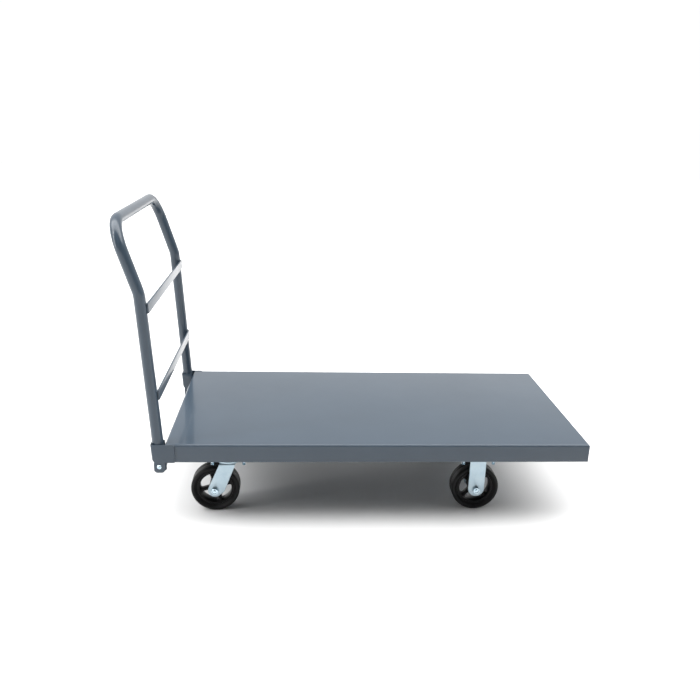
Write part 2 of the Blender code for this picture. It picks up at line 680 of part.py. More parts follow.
def build_rigid_caster(side, sign):
    """Fixed caster at the free end."""
    prefix = "rigid_" + side
    axle = Vector((DECK_END_X + RIGID_AXLE_X, sign * CASTER_Y, WHEEL_R))
    caster_plate(prefix + "_plate", axle.x, axle.y)
    crown = CASTER_TOP_Z - CASTER_PLATE_THICK - GAP - WHEEL_R
    build_fork(prefix + "_fork", crown, rigid_leg_outline(), axle, ROOT)
    build_axle(prefix, axle, sign, ROOT)
    build_wheel("rigid", prefix, axle, joint_empty(prefix + "_roll", axle, ROOT))


def build_swivel_caster(side, sign):
    """Swivel caster at the handle end, its axle trailing towards the handle."""
    prefix = "swivel_" + side
    pivot = Vector((DECK_END_X + SWIVEL_AXIS_X, sign * CASTER_Y, SWIVEL_CROWN_Z))
    axle = Vector((pivot.x - SWIVEL_TRAIL, pivot.y, WHEEL_R))
    turn = joint_empty(prefix + "_turn", pivot, ROOT)
    plate = caster_plate(prefix + "_plate", pivot.x, pivot.y)
    build_kingpin(prefix, pivot, plate)
    race_low = GAP
    race_high = CASTER_TOP_Z - CASTER_PLATE_THICK - GAP - pivot.z
    race = [(RACE_LIP_R, race_high), (RACE_R, race_high - RACE_LIP_DROP), (RACE_R, race_low + RACE_CHAMFER),
            (RACE_R - RACE_CHAMFER, race_low), (RACE_BORE_R, race_low), (RACE_BORE_R, race_high)]
    part(turned(prefix + "_race", race, RACE_STEPS, "Z", pivot), ZINC, turn)
    yoke = build_fork(prefix + "_yoke", pivot.z - WHEEL_R, swivel_leg_outline(), axle, turn)
    bore = KINGPIN_R + SHAFT_CLEARANCE
    boolean(yoke, bar("cut_pin_" + prefix, bore, 4.0 * FORK_SHEET, pivot, "Z"), "DIFFERENCE")
    build_axle(prefix, axle, sign, turn)
    build_wheel("swivel", prefix, axle, joint_empty(prefix + "_roll", axle, turn))


def build_kingpin(prefix, pivot, plate):
    """Headed pin let into the plate from above, with its nut under the yoke's crown."""
    bore = KINGPIN_R + SHAFT_CLEARANCE
    head_bore = KINGPIN_HEAD_R + SHAFT_CLEARANCE
    top = CASTER_TOP_Z - pivot.z
    floor = top - KINGPIN_HEAD_THICK - 2.0 * GAP
    step_cut = [(0.0, top + CUT_MARGIN), (head_bore, top + CUT_MARGIN), (head_bore, floor), (bore, floor),
                (bore, top - 2.0 * CUT_MARGIN), (0.0, top - 2.0 * CUT_MARGIN)]
    boolean(plate, turned("cut_kingpin_" + prefix, step_cut, SHAFT_SIDES, "Z", pivot), "DIFFERENCE")
    end = KINGPIN_END_Z - pivot.z
    pin = [(0.0, top - GAP), (KINGPIN_HEAD_R, top - GAP), (KINGPIN_HEAD_R, floor + GAP),
           (KINGPIN_R, floor + GAP), (KINGPIN_R, end), (0.0, end)]
    part(turned(prefix + "_kingpin", pin, SHAFT_SIDES, "Z", pivot), ZINC, ROOT)
    soffit = pivot - Vector((0.0, 0.0, FORK_SHEET + GAP))
    nut = hex_nut(prefix + "_kingpin_nut", "Z", soffit, -1.0, KINGPIN_NUT_AF, KINGPIN_NUT_THICK, bore)
    part(nut, ZINC, ROOT)


clear_scene()
PARTS = new_collection("platform_cart", False)
CUTTERS = new_collection("cutters", True)
ROOT = joint_empty("platform_cart_origin", (0.0, 0.0, 0.0))
build_deck()
build_channels()
build_handle()
for side_name, side_sign in SIDES.items():
    build_socket(side_name, side_sign)
    build_rigid_caster(side_name, side_sign)
    build_swivel_caster(side_name, side_sign)
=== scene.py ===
"""Looks of the platform cart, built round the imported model. Metres, same frame as the model."""

import json
import math

import bmesh
import bpy
from mathutils import Matrix, Vector


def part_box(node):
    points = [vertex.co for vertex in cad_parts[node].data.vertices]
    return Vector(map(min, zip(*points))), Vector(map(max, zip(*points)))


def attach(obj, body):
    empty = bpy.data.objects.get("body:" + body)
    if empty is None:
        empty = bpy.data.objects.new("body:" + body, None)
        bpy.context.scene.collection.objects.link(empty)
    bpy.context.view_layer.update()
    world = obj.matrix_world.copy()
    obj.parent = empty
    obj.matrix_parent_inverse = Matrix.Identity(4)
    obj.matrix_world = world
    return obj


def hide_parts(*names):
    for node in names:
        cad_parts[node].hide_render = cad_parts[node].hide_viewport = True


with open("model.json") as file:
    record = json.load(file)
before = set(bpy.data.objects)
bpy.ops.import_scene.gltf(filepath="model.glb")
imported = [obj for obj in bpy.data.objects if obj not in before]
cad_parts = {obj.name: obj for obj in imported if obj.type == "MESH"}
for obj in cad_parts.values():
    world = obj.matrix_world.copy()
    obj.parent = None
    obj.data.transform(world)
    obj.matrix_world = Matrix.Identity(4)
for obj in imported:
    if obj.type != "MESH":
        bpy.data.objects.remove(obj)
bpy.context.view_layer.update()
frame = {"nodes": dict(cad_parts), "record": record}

# ---------- dimensions shared with the model
SIDES = {"right": -1.0, "left": 1.0}
DECK_LOW, DECK_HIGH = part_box("deck_pan")
DECK_END_X = DECK_LOW.x
DECK_FREE_X = DECK_HIGH.x
DECK_HALF_Y = DECK_HIGH.y
DECK_TOP_Z = DECK_HIGH.z
DECK_SHEET = 0.0027
DECK_BEND_R = 0.0060
CORNER_SEAM_R = 0.0022

TUBE_R = 0.015875
TUBE_WALL = 0.0021
TUBE_INSET = 0.0161
TUBE_Y = DECK_HALF_Y - TUBE_INSET
TUBE_FOOT_OFFSET = 0.0206
LOWER_LEAN = 0.0648
UPPER_LEAN = 0.325
ELBOW_HEIGHT = 0.4277
GRIP_HEIGHT = 0.6130
ELBOW_R = 0.108
CORNER_R = 0.078
TUBE_END_HEIGHT = -0.0840
LEAN_ANGLE = math.atan(LOWER_LEAN)

CROSSBAR_HEIGHT = 0.0265
CROSSBAR_THICK = 0.0048
CROSSBAR_LEVELS = {"crossbar_upper": 0.3880, "crossbar_lower": 0.1420}
CROSSBAR_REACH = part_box("crossbar_upper")[1].y

SOCKET_SHEET = 0.0025
SOCKET_BEND_R = 0.0050
SOCKET_CLEARANCE = 0.0004
SOCKET_LAP = 0.0265
SOCKET_BOTTOM = -0.0540
SOCKET_CHAMFER_HEIGHT = 0.0090
SOCKET_CHAMFER_WIDTH = 0.0060
TONGUE_WIDTH = 0.0305
TONGUE_BOTTOM = -0.0855
TONGUE_CORNER_R = 0.0100
STOP_BOLT_HEIGHT = -0.0670
STOP_BOLT_R = 0.0040
STOP_HEAD_R = 0.0066
STOP_HEAD_THICK = 0.0046
STOP_SOCKET_AF = 0.0036
STOP_SOCKET_DEPTH = 0.0026
STOP_NUT_AF = 0.0127
STOP_NUT_THICK = 0.0075
BOLT_TAIL = 0.0030
NOTCH_HALF_WIDTH = 0.0044

PLATE_LOW, PLATE_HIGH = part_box("rigid_right_plate")
CASTER_TOP_Z = PLATE_HIGH.z
PLATE_BOTTOM_Z = PLATE_LOW.z
PLATE_BOLT_X = 0.0460
PLATE_BOLT_Y = 0.0333
PLATE_BOLT_R = 0.0048
PLATE_BOLT_AF = 0.0143
PLATE_BOLT_HEAD = 0.0060
PLATE_BOLT_LENGTH = 0.0290
PLATE_BOLT_THREAD = 0.018
PLATE_BOLT_SEAT = 0.0036
PLATE_NUT_THICK = 0.0098
PLATE_NUT_BORE_R = 0.0050
PLATE_NUT_DROP = 0.0018
PLATE_WASHER_R = 0.0100
PLATE_WASHER_BORE_R = 0.0051
PLATE_WASHER_THICK = 0.0016
PLATE_HALF_X = 0.0570
PLATE_HALF_Y = 0.0510
PLATE_CORNER_R = 0.006
SLOT_REACH = 0.0080
SLOT_OUTER_SHARE = 0.7
SLOT_HALF_WIDTH = 0.0054
SLOT_CORNER_R = 0.0053
RACE_BORE_R = 0.020
RACE_BALL_R = 0.00238
RACE_BALL_CIRCLE_R = 0.0372
RACE_BALL_RISE = 0.0048
RACE_BALL_COUNT = 36
FORK_LOW_Z = 0.040
FORK_SHEET = 0.0055
FORK_INNER_HALF = 0.0290
FORK_OUTER_HALF = FORK_INNER_HALF + FORK_SHEET
FORK_BEND_R = 0.0090
RIGID_LEG_WIDTH = 0.0490
RIGID_END_RISE = 0.0028
SWIVEL_CROWN_Z = 0.1640
SWIVEL_END_R = 0.0205
SWIVEL_REAR_RAKE = math.radians(67.0)
SWIVEL_FRONT_RAKE = math.radians(69.2)
SWIVEL_TOE_RAKE = math.radians(40.0)
SWIVEL_HEEL = (0.0280, -0.0033)
SWIVEL_HEEL_R = 0.0120
KINGPIN_BORE_R = 0.0063
KINGPIN_HEAD_BORE_R = 0.0113
KINGPIN_HEAD_DEPTH = 0.0046
WHEEL_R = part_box("rigid_right_tyre")[1].z / 2.0
TYRE_WIDTH = 0.0500
TYRE_INNER_R = 0.0540
RIM_WIDTH = 0.0340
RIM_INNER_R = 0.0480
WINDOW_INNER_R = 0.0215
WINDOW_OUTER_R = 0.0465
SPOKE_WIDTH = 0.0110
WEB_THICK = 0.0120
HUB_R = 0.0185
HUB_LENGTH = 0.0556
AXLE_R = 0.00635
AXLE_HEX_AF = 0.0190
BUSHING_R = 0.0095
AXLE_HEAD_THICK = 0.0080
AXLE_NUT_THICK = 0.0110
AXLE_THREAD = 0.016
THRUST_WASHER_R = 0.0155
THRUST_WASHER_THICK = 0.0008
SPOKE_COUNT = 4
SPOKE_ANGLES = {"swivel": 16.0, "rigid": 46.0}
GAP = 0.0003
CUT_MARGIN = 0.01

THREAD_PITCH = 0.0013
WELD_RIPPLE = 0.0030
WELD_SIDES = 12
RING_STEPS = 48
CROSSBAR_WELD_REACH = 0.0075
CROSSBAR_WELD_R = 0.0019
CROSSBAR_FLANK_Y = 0.0055
CROSSBAR_FLANK_WELD_R = 0.0014
SOCKET_WELD_R = 0.0016
CROWN_WELD_R = 0.0026
CROWN_WELD_HALF = 0.026
CHANNEL_WELD_R = 0.0022
CHANNEL_WELD_LENGTH = 0.040
CHANNEL_WELD_INSET = 0.030
CHANNEL_WELD_COUNT = 5

# ---------- camera
CAMERA_PLACE = Vector((-0.1764, -2.2018, 1.1710))
CAMERA_YAW = 4.20
CAMERA_PITCH = 18.17
CAMERA_ROLL = -1.85
CAMERA_LENS = 37.9

# ---------- studio light levels by direction
BACK_START = -0.45
BACK_FULL = 0.30
LEVEL_FRONT = 0.12
LEVEL_BACK = 1.02
LEVEL_CAP = 5.8
CAP_START = 0.38
CAP_FULL = 0.62
CAP_SIDE_FULL = 0.22
CAP_SIDE_END = 0.52
STRIP_PLACE = (-2.4, -0.9, 1.3)
STRIP_TARGET = (-0.62, -0.29, 0.75)
STRIP_WIDTH = 0.14
STRIP_HEIGHT = 1.6
STRIP_POWER = 22.0
FLOOR_HALF = 12.0


# ---------- shape helpers
def shade(mesh, smooth_angle):
    """Smooth shading between edges sharper than an angle."""
    for polygon in mesh.polygons:
        polygon.use_smooth = True
    mesh.set_sharp_from_angle(angle=math.radians(smooth_angle))


def mesh_object(name, bm, smooth_angle=35.0):
    """Closed bmesh to a shaded object in the scene."""
    bmesh.ops.recalc_face_normals(bm, faces=bm.faces)
    mesh = bpy.data.meshes.new(name)
    bm.to_mesh(mesh)
    bm.free()
    shade(mesh, smooth_angle)
    obj = bpy.data.objects.new(name, mesh)
    bpy.context.scene.collection.objects.link(obj)
    return obj


def baked(obj, smooth_angle=35.0):
    """Apply an object's modifiers and shade it smooth between its sharp edges."""
    depsgraph = bpy.context.evaluated_depsgraph_get()
    depsgraph.update()
    mesh = bpy.data.meshes.new_from_object(obj.evaluated_get(depsgraph))
    old = obj.data
    obj.modifiers.clear()
    obj.data = mesh
    bpy.data.meshes.remove(old)
    shade(mesh, smooth_angle)
    return obj


def cut(obj, bm, operation="DIFFERENCE"):
    """Exact boolean with a throwaway cutter."""
    cutter = mesh_object("cutter", bm)
    modifier = obj.modifiers.new("cut", "BOOLEAN")
    modifier.operation = operation
    modifier.solver = "EXACT"
    modifier.object = cutter
    baked(obj)
    bpy.data.objects.remove(cutter, do_unlink=True)
    return obj


def eased(obj, width=0.0005, segments=2, angle=32.0):
    """Break an object's sharp edges with a small rounded bevel."""
    modifier = obj.modifiers.new("ease", "BEVEL")
    modifier.width = width
    modifier.segments = segments
    modifier.limit_method = "ANGLE"
    modifier.angle_limit = math.radians(angle)
    modifier.use_clamp_overlap = True
    modifier.harden_normals = False
    return baked(obj, 40.0)


def fillet(previous, here, following, radius):
    """Centre of a corner's rounding, and its start and end as seen from there."""
    before = (previous - here).normalized()
    after = (following - here).normalized()
    half = before.angle(after) / 2.0
    centre = here + (before + after).normalized() * (radius / math.sin(half))
    reach = radius / math.tan(half)
    return centre, here + before * reach - centre, here + after * reach - centre


def rounded_outline(corners, steps=6):
    """Outline from (x, y, radius) corners; a zero radius keeps the corner sharp."""
    outline = []
    count = len(corners)
    for index, (x, y, radius) in enumerate(corners):
        here = Vector((x, y))
        if radius <= 0.0:
            outline.append(here)
            continue
        previous = Vector(corners[index - 1][:2])
        following = Vector(corners[(index + 1) % count][:2])
        centre, start, end = fillet(previous, here, following, radius)
        sweep = math.atan2(start.x * end.y - start.y * end.x, start.dot(end))
        for step in range(steps + 1):
            outline.append(centre + Matrix.Rotation(sweep * step / steps, 2) @ start)
    return outline


def circle_outline(radius, sides, centre=(0.0, 0.0)):
    """Regular outline round a centre."""
    turns = [2.0 * math.pi * step / sides for step in range(sides)]
    return [Vector((centre[0] + radius * math.cos(turn), centre[1] + radius * math.sin(turn)))
            for turn in turns]


def prism(outline, low, high, plane):
    """Closed prism of an outline in plane XY, XZ or YZ, from `low` to `high` along the third axis."""
    place = {
        "XY": lambda p, depth: (p.x, p.y, depth),
        "XZ": lambda p, depth: (p.x, depth, p.y),
        "YZ": lambda p, depth: (depth, p.x, p.y),
    }[plane]
    bm = bmesh.new()
    bottom = [bm.verts.new(place(point, low)) for point in outline]
    top = [bm.verts.new(place(point, high)) for point in outline]
    bm.faces.new(bottom)
    bm.faces.new(list(reversed(top)))
    join_rings(bm, bottom, top)
    return bm


def join_rings(bm, first, second):
    """Skin two neighbouring rings of equal length."""
    count = len(first)
    for step in range(count):
        following = (step + 1) % count
        bm.faces.new([first[step], first[following], second[following], second[step]])


def skin(bm, loops):
    """Skin a row of rings in order."""
    for first, second in zip(loops, loops[1:]):
        join_rings(bm, first, second)


def cap(bm, loops):
    """Close both ends of a skinned row of rings."""
    bm.faces.new(loops[0])
    bm.faces.new(list(reversed(loops[-1])))


def axis_point(axis, centre, radius, angle, along):
    """World point on a turned shape about a Y or Z axis through `centre`."""
    across = radius * math.cos(angle)
    up = radius * math.sin(angle)
    if axis == "Y":
        return (centre[0] + across, centre[1] + along, centre[2] + up)
    return (centre[0] + across, centre[1] + up, centre[2] + along)


def lathe(profile, steps, axis, centre):
    """Turn a closed (radius, along-axis) loop."""
    bm = bmesh.new()
    rings = [[bm.verts.new(axis_point(axis, centre, radius, 2.0 * math.pi * step / steps, along))
              for step in range(steps)] for radius, along in profile]
    skin(bm, rings + rings[:1])
    return bm


def rounded_profile(corners, steps=4):
    """Closed lathe profile from (radius, along, fillet) corners."""
    return [(point.x, point.y) for point in rounded_outline(corners, steps)]


def hex_radius(across_flats, angle):
    """Distance from the axis to a hexagon's edge at an angle."""
    sector = math.radians(60.0)
    return across_flats / 2.0 / math.cos(angle % sector - sector / 2.0)


def stacked_rings(rings, axis, centre):
    """Open-ended stack of (kind, size, along) rings; kind is hex, dome or round.

    A dome ring is the hexagon clipped to a circle, as the chamfer on a nut's corners is.
    """
    bm = bmesh.new()
    loops = []
    for kind, size, along in rings:
        loop = []
        for step in range(RING_STEPS):
            angle = 2.0 * math.pi * step / RING_STEPS
            radius = size
            if kind == "hex":
                radius = hex_radius(size, angle)
            elif kind == "dome":
                radius = min(hex_radius(size[0], angle), size[1])
            loop.append(bm.verts.new(axis_point(axis, centre, radius, angle, along)))
        loops.append(loop)
    skin(bm, loops)
    return bm, loops


def hex_head_rings(across_flats, thick, direction):
    """Rings of a hex head from its washer face outwards to its chamfered crown."""
    corner = across_flats / math.sqrt(3.0)
    washer = across_flats * 0.47
    chamfer = corner - across_flats / 2.0
    rings = [("round", washer, 0.0), ("round", washer, direction * thick * 0.06),
             ("hex", across_flats, direction * thick * 0.06)]
    for share in (0.0, 0.35, 0.7, 1.0):
        limit = corner - chamfer * 1.15 * share
        rise = thick * 0.80 + thick * 0.20 * (1.0 - math.sqrt(max(0.0, 1.0 - share * share)))
        rings.append(("dome", (across_flats, limit), direction * rise))
    rings.append(("round", across_flats * 0.40, direction * thick))
    return rings


def dished_head_rings(across_flats, thick, direction):
    """Rings of a hex head whose crown is sunk round a raised centre, from the washer face outwards."""
    rings = hex_head_rings(across_flats, thick, direction)[:-1]
    for share, depth in ((0.36, 0.0), (0.31, 0.0022), (0.19, 0.0026), (0.16, 0.0004), (0.10, 0.0)):
        rings.append(("round", across_flats * share, direction * (thick - depth)))
    return rings


def threaded_rings(radius, start, end):
    """Rings that read as a screw thread between two places along a shank."""
    rings = []
    count = max(2, int(abs(end - start) / THREAD_PITCH))
    for index in range(count):
        low = start + (end - start) * index / count
        high = start + (end - start) * (index + 0.5) / count
        rings.append(("round", radius * 0.90, low))
        rings.append(("round", radius, high))
    rings.append(("round", radius * 0.82, end))
    return rings


def hex_bolt(name, axis, seat, across_flats, head, shank_r, length, direction, threaded,
             crown=hex_head_rings):
    """Bolt with its washer face on `seat`, its shank along `direction` and threads on its last part."""
    head_rings = crown(across_flats, head, -direction)
    rings = list(reversed(head_rings)) + [("round", shank_r, 0.0)]
    rings += threaded_rings(shank_r, direction * (length - threaded), direction * length)
    bm, loops = stacked_rings(rings, axis, seat)
    cap(bm, loops)
    return mesh_object(name, bm, 30.0)


def hex_nut(name, axis, seat, across_flats, thick, bore_r, direction):
    """Lock nut standing on `seat`, with the collar that holds its insert."""
    corner = across_flats / math.sqrt(3.0)
    body = thick * 0.72
    rings = [("round", bore_r, 0.0), ("round", across_flats * 0.47, 0.0),
             ("dome", (across_flats, across_flats * 0.52), direction * body * 0.05),
             ("dome", (across_flats, corner), direction * body * 0.16),
             ("dome", (across_flats, corner), direction * body * 0.84),
             ("dome", (across_flats, across_flats * 0.52), direction * body * 0.97),
             ("round", across_flats * 0.45, direction * body)]
    for share in (0.15, 0.5, 0.8, 1.0):
        bulge = math.sqrt(1.0 - share * share * 0.8)
        rise = body + (thick - body) * share
        rings.append(("round", across_flats * (0.32 + 0.11 * bulge), direction * rise))
    rings.append(("round", bore_r, direction * thick))
    bm, loops = stacked_rings(rings, axis, seat)
    join_rings(bm, loops[-1], loops[0])
    return mesh_object(name, bm, 30.0)


def flat_washer(name, axis, seat, outer, inner, thick, direction):
    """Plain washer on a seat."""
    ease = thick * 0.25
    profile = [(inner, 0.0), (outer - ease, 0.0), (outer, direction * ease),
               (outer, direction * (thick - ease)), (outer - ease, direction * thick),
               (inner, direction * thick)]
    return mesh_object(name, lathe(profile, 40, axis, seat))


def filleted_path(corners, radii, steps):
    """3-D polyline with its inner corners rounded."""
    path = [corners[0]]
    for index in range(1, len(corners) - 1):
        centre, start, end = fillet(corners[index - 1], corners[index], corners[index + 1], radii[index - 1])
        sweep = start.angle(end)
        for step in range(steps[index - 1] + 1):
            share = step / steps[index - 1]
            mixed = start * math.sin((1.0 - share) * sweep) + end * math.sin(share * sweep)
            path.append(centre + mixed / math.sin(sweep))
    path.append(corners[-1])
    return path


def swept_loops(bm, path, radii, sides, side_hint):
    """Rings of vertices round a path, carried along it without twist."""
    loops = []
    side = Vector(side_hint)
    for index, point in enumerate(path):
        before = path[max(index - 1, 0)]
        after = path[min(index + 1, len(path) - 1)]
        into = (point - before).normalized() if index else (after - point).normalized()
        out = (after - point).normalized() if index < len(path) - 1 else into
        tangent = (into + out).normalized()
        side = (side - tangent * side.dot(tangent)).normalized()
        across = tangent.cross(side)
        loop = []
        for step in range(sides):
            angle = 2.0 * math.pi * step / sides
            offset = side * math.cos(angle) + across * math.sin(angle)
            loop.append(bm.verts.new(point + offset * radii[index]))
        loops.append(loop)
    return loops


def weld_bead(name, points, radius, side_hint=(0.0, 0.0, 1.0)):
    """Fillet weld along a polyline, with the even ripples a hand-laid bead shows."""
    path = []
    for start, end in zip(points, points[1:]):
        start, end = Vector(start), Vector(end)
        count = max(2, int((end - start).length / (WELD_RIPPLE / 4.0)))
        path += [start.lerp(end, step / count) for step in range(count)]
    path.append(Vector(points[-1]))
    radii = []
    travelled = 0.0
    total = sum((after - before).length for before, after in zip(path, path[1:]))
    for index, point in enumerate(path):
        if index:
            travelled += (point - path[index - 1]).length
        wave = abs(math.sin(math.pi * travelled / WELD_RIPPLE))
        taper = min(1.0, 0.35 + travelled / (2.0 * radius), 0.35 + (total - travelled) / (2.0 * radius))
        radii.append(radius * taper * (0.84 + 0.16 * wave))
    bm = bmesh.new()
    loops = swept_loops(bm, path, radii, WELD_SIDES, side_hint)
    skin(bm, loops)
    cap(bm, loops)
    return mesh_object(name, bm, 60.0)


# ---------- materials
class Nodes:
    """Small helper that adds shader nodes to one material and links them."""

    def __init__(self, name):
        self.material = bpy.data.materials.new(name)
        self.material.use_nodes = True
        self.tree = self.material.node_tree
        self.shader = self.tree.nodes["Principled BSDF"]
        self.place = self.add("ShaderNodeTexCoord").outputs["Object"]

    def add(self, kind, **values):
        node = self.tree.nodes.new(kind)
        for key, value in values.items():
            if key in node.inputs:
                node.inputs[key].default_value = value
            else:
                setattr(node, key, value)
        return node

    def link(self, source, target):
        self.tree.links.new(source, target)

    def noise(self, scale, detail=3.0, roughness=0.55, stretch=(1.0, 1.0, 1.0)):
        mapping = self.add("ShaderNodeMapping")
        mapping.inputs["Scale"].default_value = stretch
        self.link(self.place, mapping.inputs["Vector"])
        node = self.add("ShaderNodeTexNoise", Scale=scale, Detail=detail, Roughness=roughness)
        self.link(mapping.outputs["Vector"], node.inputs["Vector"])
        return node.outputs["Fac"]

    def ramp(self, factor, stops):
        node = self.add("ShaderNodeValToRGB")
        ramp = node.color_ramp
        while len(ramp.elements) < len(stops):
            ramp.elements.new(0.5)
        for element, (position, colour) in zip(ramp.elements, stops):
            element.position = position
            element.color = (*colour, 1.0)
        self.link(factor, node.inputs["Fac"])
        return node.outputs["Color"]

    def spread(self, factor, low, high):
        node = self.add("ShaderNodeMapRange")
        node.inputs["To Min"].default_value = low
        node.inputs["To Max"].default_value = high
        self.link(factor, node.inputs["Value"])
        return node.outputs["Result"]

    def bump(self, height, distance, strength=1.0, under=None):
        node = self.add("ShaderNodeBump", Strength=strength, Distance=distance)
        self.link(height, node.inputs["Height"])
        if under is not None:
            self.link(under, node.inputs["Normal"])
        return node.outputs["Normal"]


def paint_material(name, colour):
    """Gloss enamel over steel: slight colour drift, faint orange peel and dulled patches."""
    n = Nodes(name)
    drift = n.noise(3.5, 4.0, 0.6)
    low = tuple(channel * 0.95 for channel in colour)
    high = tuple(channel * 1.05 for channel in colour)
    n.link(n.ramp(drift, [(0.30, low), (0.70, high)]), n.shader.inputs["Base Color"])
    n.link(n.spread(n.noise(9.0, 5.0, 0.6), 0.26, 0.36), n.shader.inputs["Roughness"])
    peel = n.bump(n.noise(260.0, 2.0, 0.5), 0.00006, 0.10)
    n.link(n.bump(n.noise(14.0, 2.0, 0.5), 0.0008, 0.035, under=peel), n.shader.inputs["Normal"])
    n.shader.inputs["Specular IOR Level"].default_value = 0.20
    n.shader.inputs["Coat Weight"].default_value = 0.5
    n.shader.inputs["Coat Roughness"].default_value = 0.07
    n.shader.inputs["Coat IOR"].default_value = 1.5
    return n.material


def zinc_material(name, brushed=(1.0, 1.0, 1.0), rough=(0.34, 0.48), level=1.0):
    """Bright zinc plate: bluish, faintly clouded, with fine rolling marks."""
    n = Nodes(name)
    shades = ((0.25, (0.31, 0.395, 0.455)), (0.55, (0.37, 0.455, 0.505)), (0.80, (0.42, 0.480, 0.505)))
    stops = [(place, tuple(channel * level for channel in shade)) for place, shade in shades]
    n.link(n.ramp(n.noise(34.0, 5.0, 0.65), stops), n.shader.inputs["Base Color"])
    n.link(n.spread(n.noise(60.0, 5.0, 0.65), *rough), n.shader.inputs["Roughness"])
    marks = n.bump(n.noise(240.0, 3.0, 0.6, brushed), 0.00012, 0.25)
    n.link(n.bump(n.noise(90.0, 2.0, 0.5), 0.0003, 0.10, under=marks), n.shader.inputs["Normal"])
    n.shader.inputs["Metallic"].default_value = 1.0
    return n.material


def rubber_material(name):
    """Moulded black rubber with a fine matte grain and a trace of dust."""
    n = Nodes(name)
    dust = [(0.35, (0.0035, 0.0035, 0.0039)), (0.75, (0.0075, 0.0074, 0.0076))]
    n.link(n.ramp(n.noise(35.0, 5.0, 0.65), dust), n.shader.inputs["Base Color"])
    n.link(n.spread(n.noise(70.0, 4.0, 0.6), 0.44, 0.60), n.shader.inputs["Roughness"])
    grain = n.bump(n.noise(900.0, 3.0, 0.6), 0.00015, 0.30)
    n.link(n.bump(n.noise(45.0, 2.0, 0.5), 0.0006, 0.08, under=grain), n.shader.inputs["Normal"])
    n.shader.inputs["Specular IOR Level"].default_value = 0.20
    return n.material


def casting_material(name):
    """Black paint over a sand casting: low gloss with a pebbled skin."""
    n = Nodes(name)
    shades = [(0.3, (0.0025, 0.0025, 0.0028)), (0.8, (0.0065, 0.0065, 0.0070))]
    n.link(n.ramp(n.noise(40.0, 4.0, 0.6), shades), n.shader.inputs["Base Color"])
    n.link(n.spread(n.noise(80.0, 4.0, 0.6), 0.26, 0.44), n.shader.inputs["Roughness"])
    sand = n.bump(n.noise(320.0, 4.0, 0.65), 0.0004, 0.35)
    n.link(n.bump(n.noise(60.0, 2.0, 0.5), 0.0008, 0.12, under=sand), n.shader.inputs["Normal"])
    n.shader.inputs["Specular IOR Level"].default_value = 0.16
    return n.material


def turned_steel_material(name):
    """Plain turned steel with fine rings along its axis."""
    n = Nodes(name)
    shades = [(0.3, (0.24, 0.24, 0.25)), (0.7, (0.36, 0.36, 0.36))]
    n.link(n.ramp(n.noise(50.0, 3.0, 0.6), shades), n.shader.inputs["Base Color"])
    n.link(n.spread(n.noise(90.0, 3.0, 0.6), 0.28, 0.42), n.shader.inputs["Roughness"])
    n.link(n.bump(n.noise(60.0, 2.0, 0.5, (1.0, 40.0, 1.0)), 0.0001, 0.3), n.shader.inputs["Normal"])
    n.shader.inputs["Metallic"].default_value = 1.0
    return n.material


def floor_material(name):
    """Plain pale studio floor."""
    n = Nodes(name)
    shades = [(0.3, (0.61, 0.61, 0.61)), (0.7, (0.63, 0.63, 0.63))]
    n.link(n.ramp(n.noise(1.5, 2.0, 0.5), shades), n.shader.inputs["Base Color"])
    n.shader.inputs["Roughness"].default_value = 0.85
    n.shader.inputs["Specular IOR Level"].default_value = 0.05
    return n.material


ENAMEL = (0.032, 0.048, 0.067)
MATERIALS = {
    "paint": paint_material("blue_grey_enamel", ENAMEL),
    "zinc": zinc_material("bright_zinc"),
    "zinc_brushed": zinc_material("bright_zinc_rolled", (1.0, 1.0, 6.0)),
    "fastener": zinc_material("bright_zinc_fastener", rough=(0.16, 0.28), level=1.45),
    "tyre": rubber_material("tyre_rubber"),
    "core": casting_material("black_casting"),
    "bushing": turned_steel_material("turned_steel"),
}


def dress(obj, material, body, replaces=()):
    """Give a piece its material and place it on its body."""
    obj.data.materials.clear()
    obj.data.materials.append(MATERIALS[material])
    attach(obj, body)
    if replaces:
        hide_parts(*replaces)
    return obj


# ---------- deck
def deck_block(inset, low, high, bend, seam, steps):
    """Block the size of the deck less `inset`, its top edges rolled to `bend`, its corners to `seam`."""
    rings = [(0.0, low)]
    for step in range(steps + 1):
        turn = math.radians(90.0) * step / steps
        rings.append((bend * (1.0 - math.cos(turn)), high - bend + bend * math.sin(turn)))
    bm = bmesh.new()
    loops = []
    for shrink, height in rings:
        half_y = DECK_HALF_Y - inset - shrink
        end_x = DECK_END_X + inset + shrink
        free_x = DECK_FREE_X - inset - shrink
        corners = [(end_x, -half_y, seam), (free_x, -half_y, seam),
                   (free_x, half_y, seam), (end_x, half_y, seam)]
        loops.append([bm.verts.new((point.x, point.y, height)) for point in rounded_outline(corners, 4)])
    bm.faces.new(list(reversed(loops[0])))
    bm.faces.new(loops[-1])
    skin(bm, loops)
    return bm


def build_deck():
    low = DECK_LOW.z
    deck = mesh_object("deck_sheet", deck_block(0.0, low, DECK_TOP_Z, DECK_BEND_R, CORNER_SEAM_R, 8))
    inner_bend = DECK_BEND_R - DECK_SHEET
    cut(deck, deck_block(DECK_SHEET, low - 0.02, DECK_TOP_Z - DECK_SHEET, inner_bend, 0.0006, 6))
    eased(deck, 0.0004, 2)
    dress(deck, "paint", "frame", ("deck_pan",))


# ---------- handle
def tube_x(height):
    """X of the straight lower tube's axis at a height above the deck's top."""
    return DECK_END_X - TUBE_FOOT_OFFSET - LOWER_LEAN * height


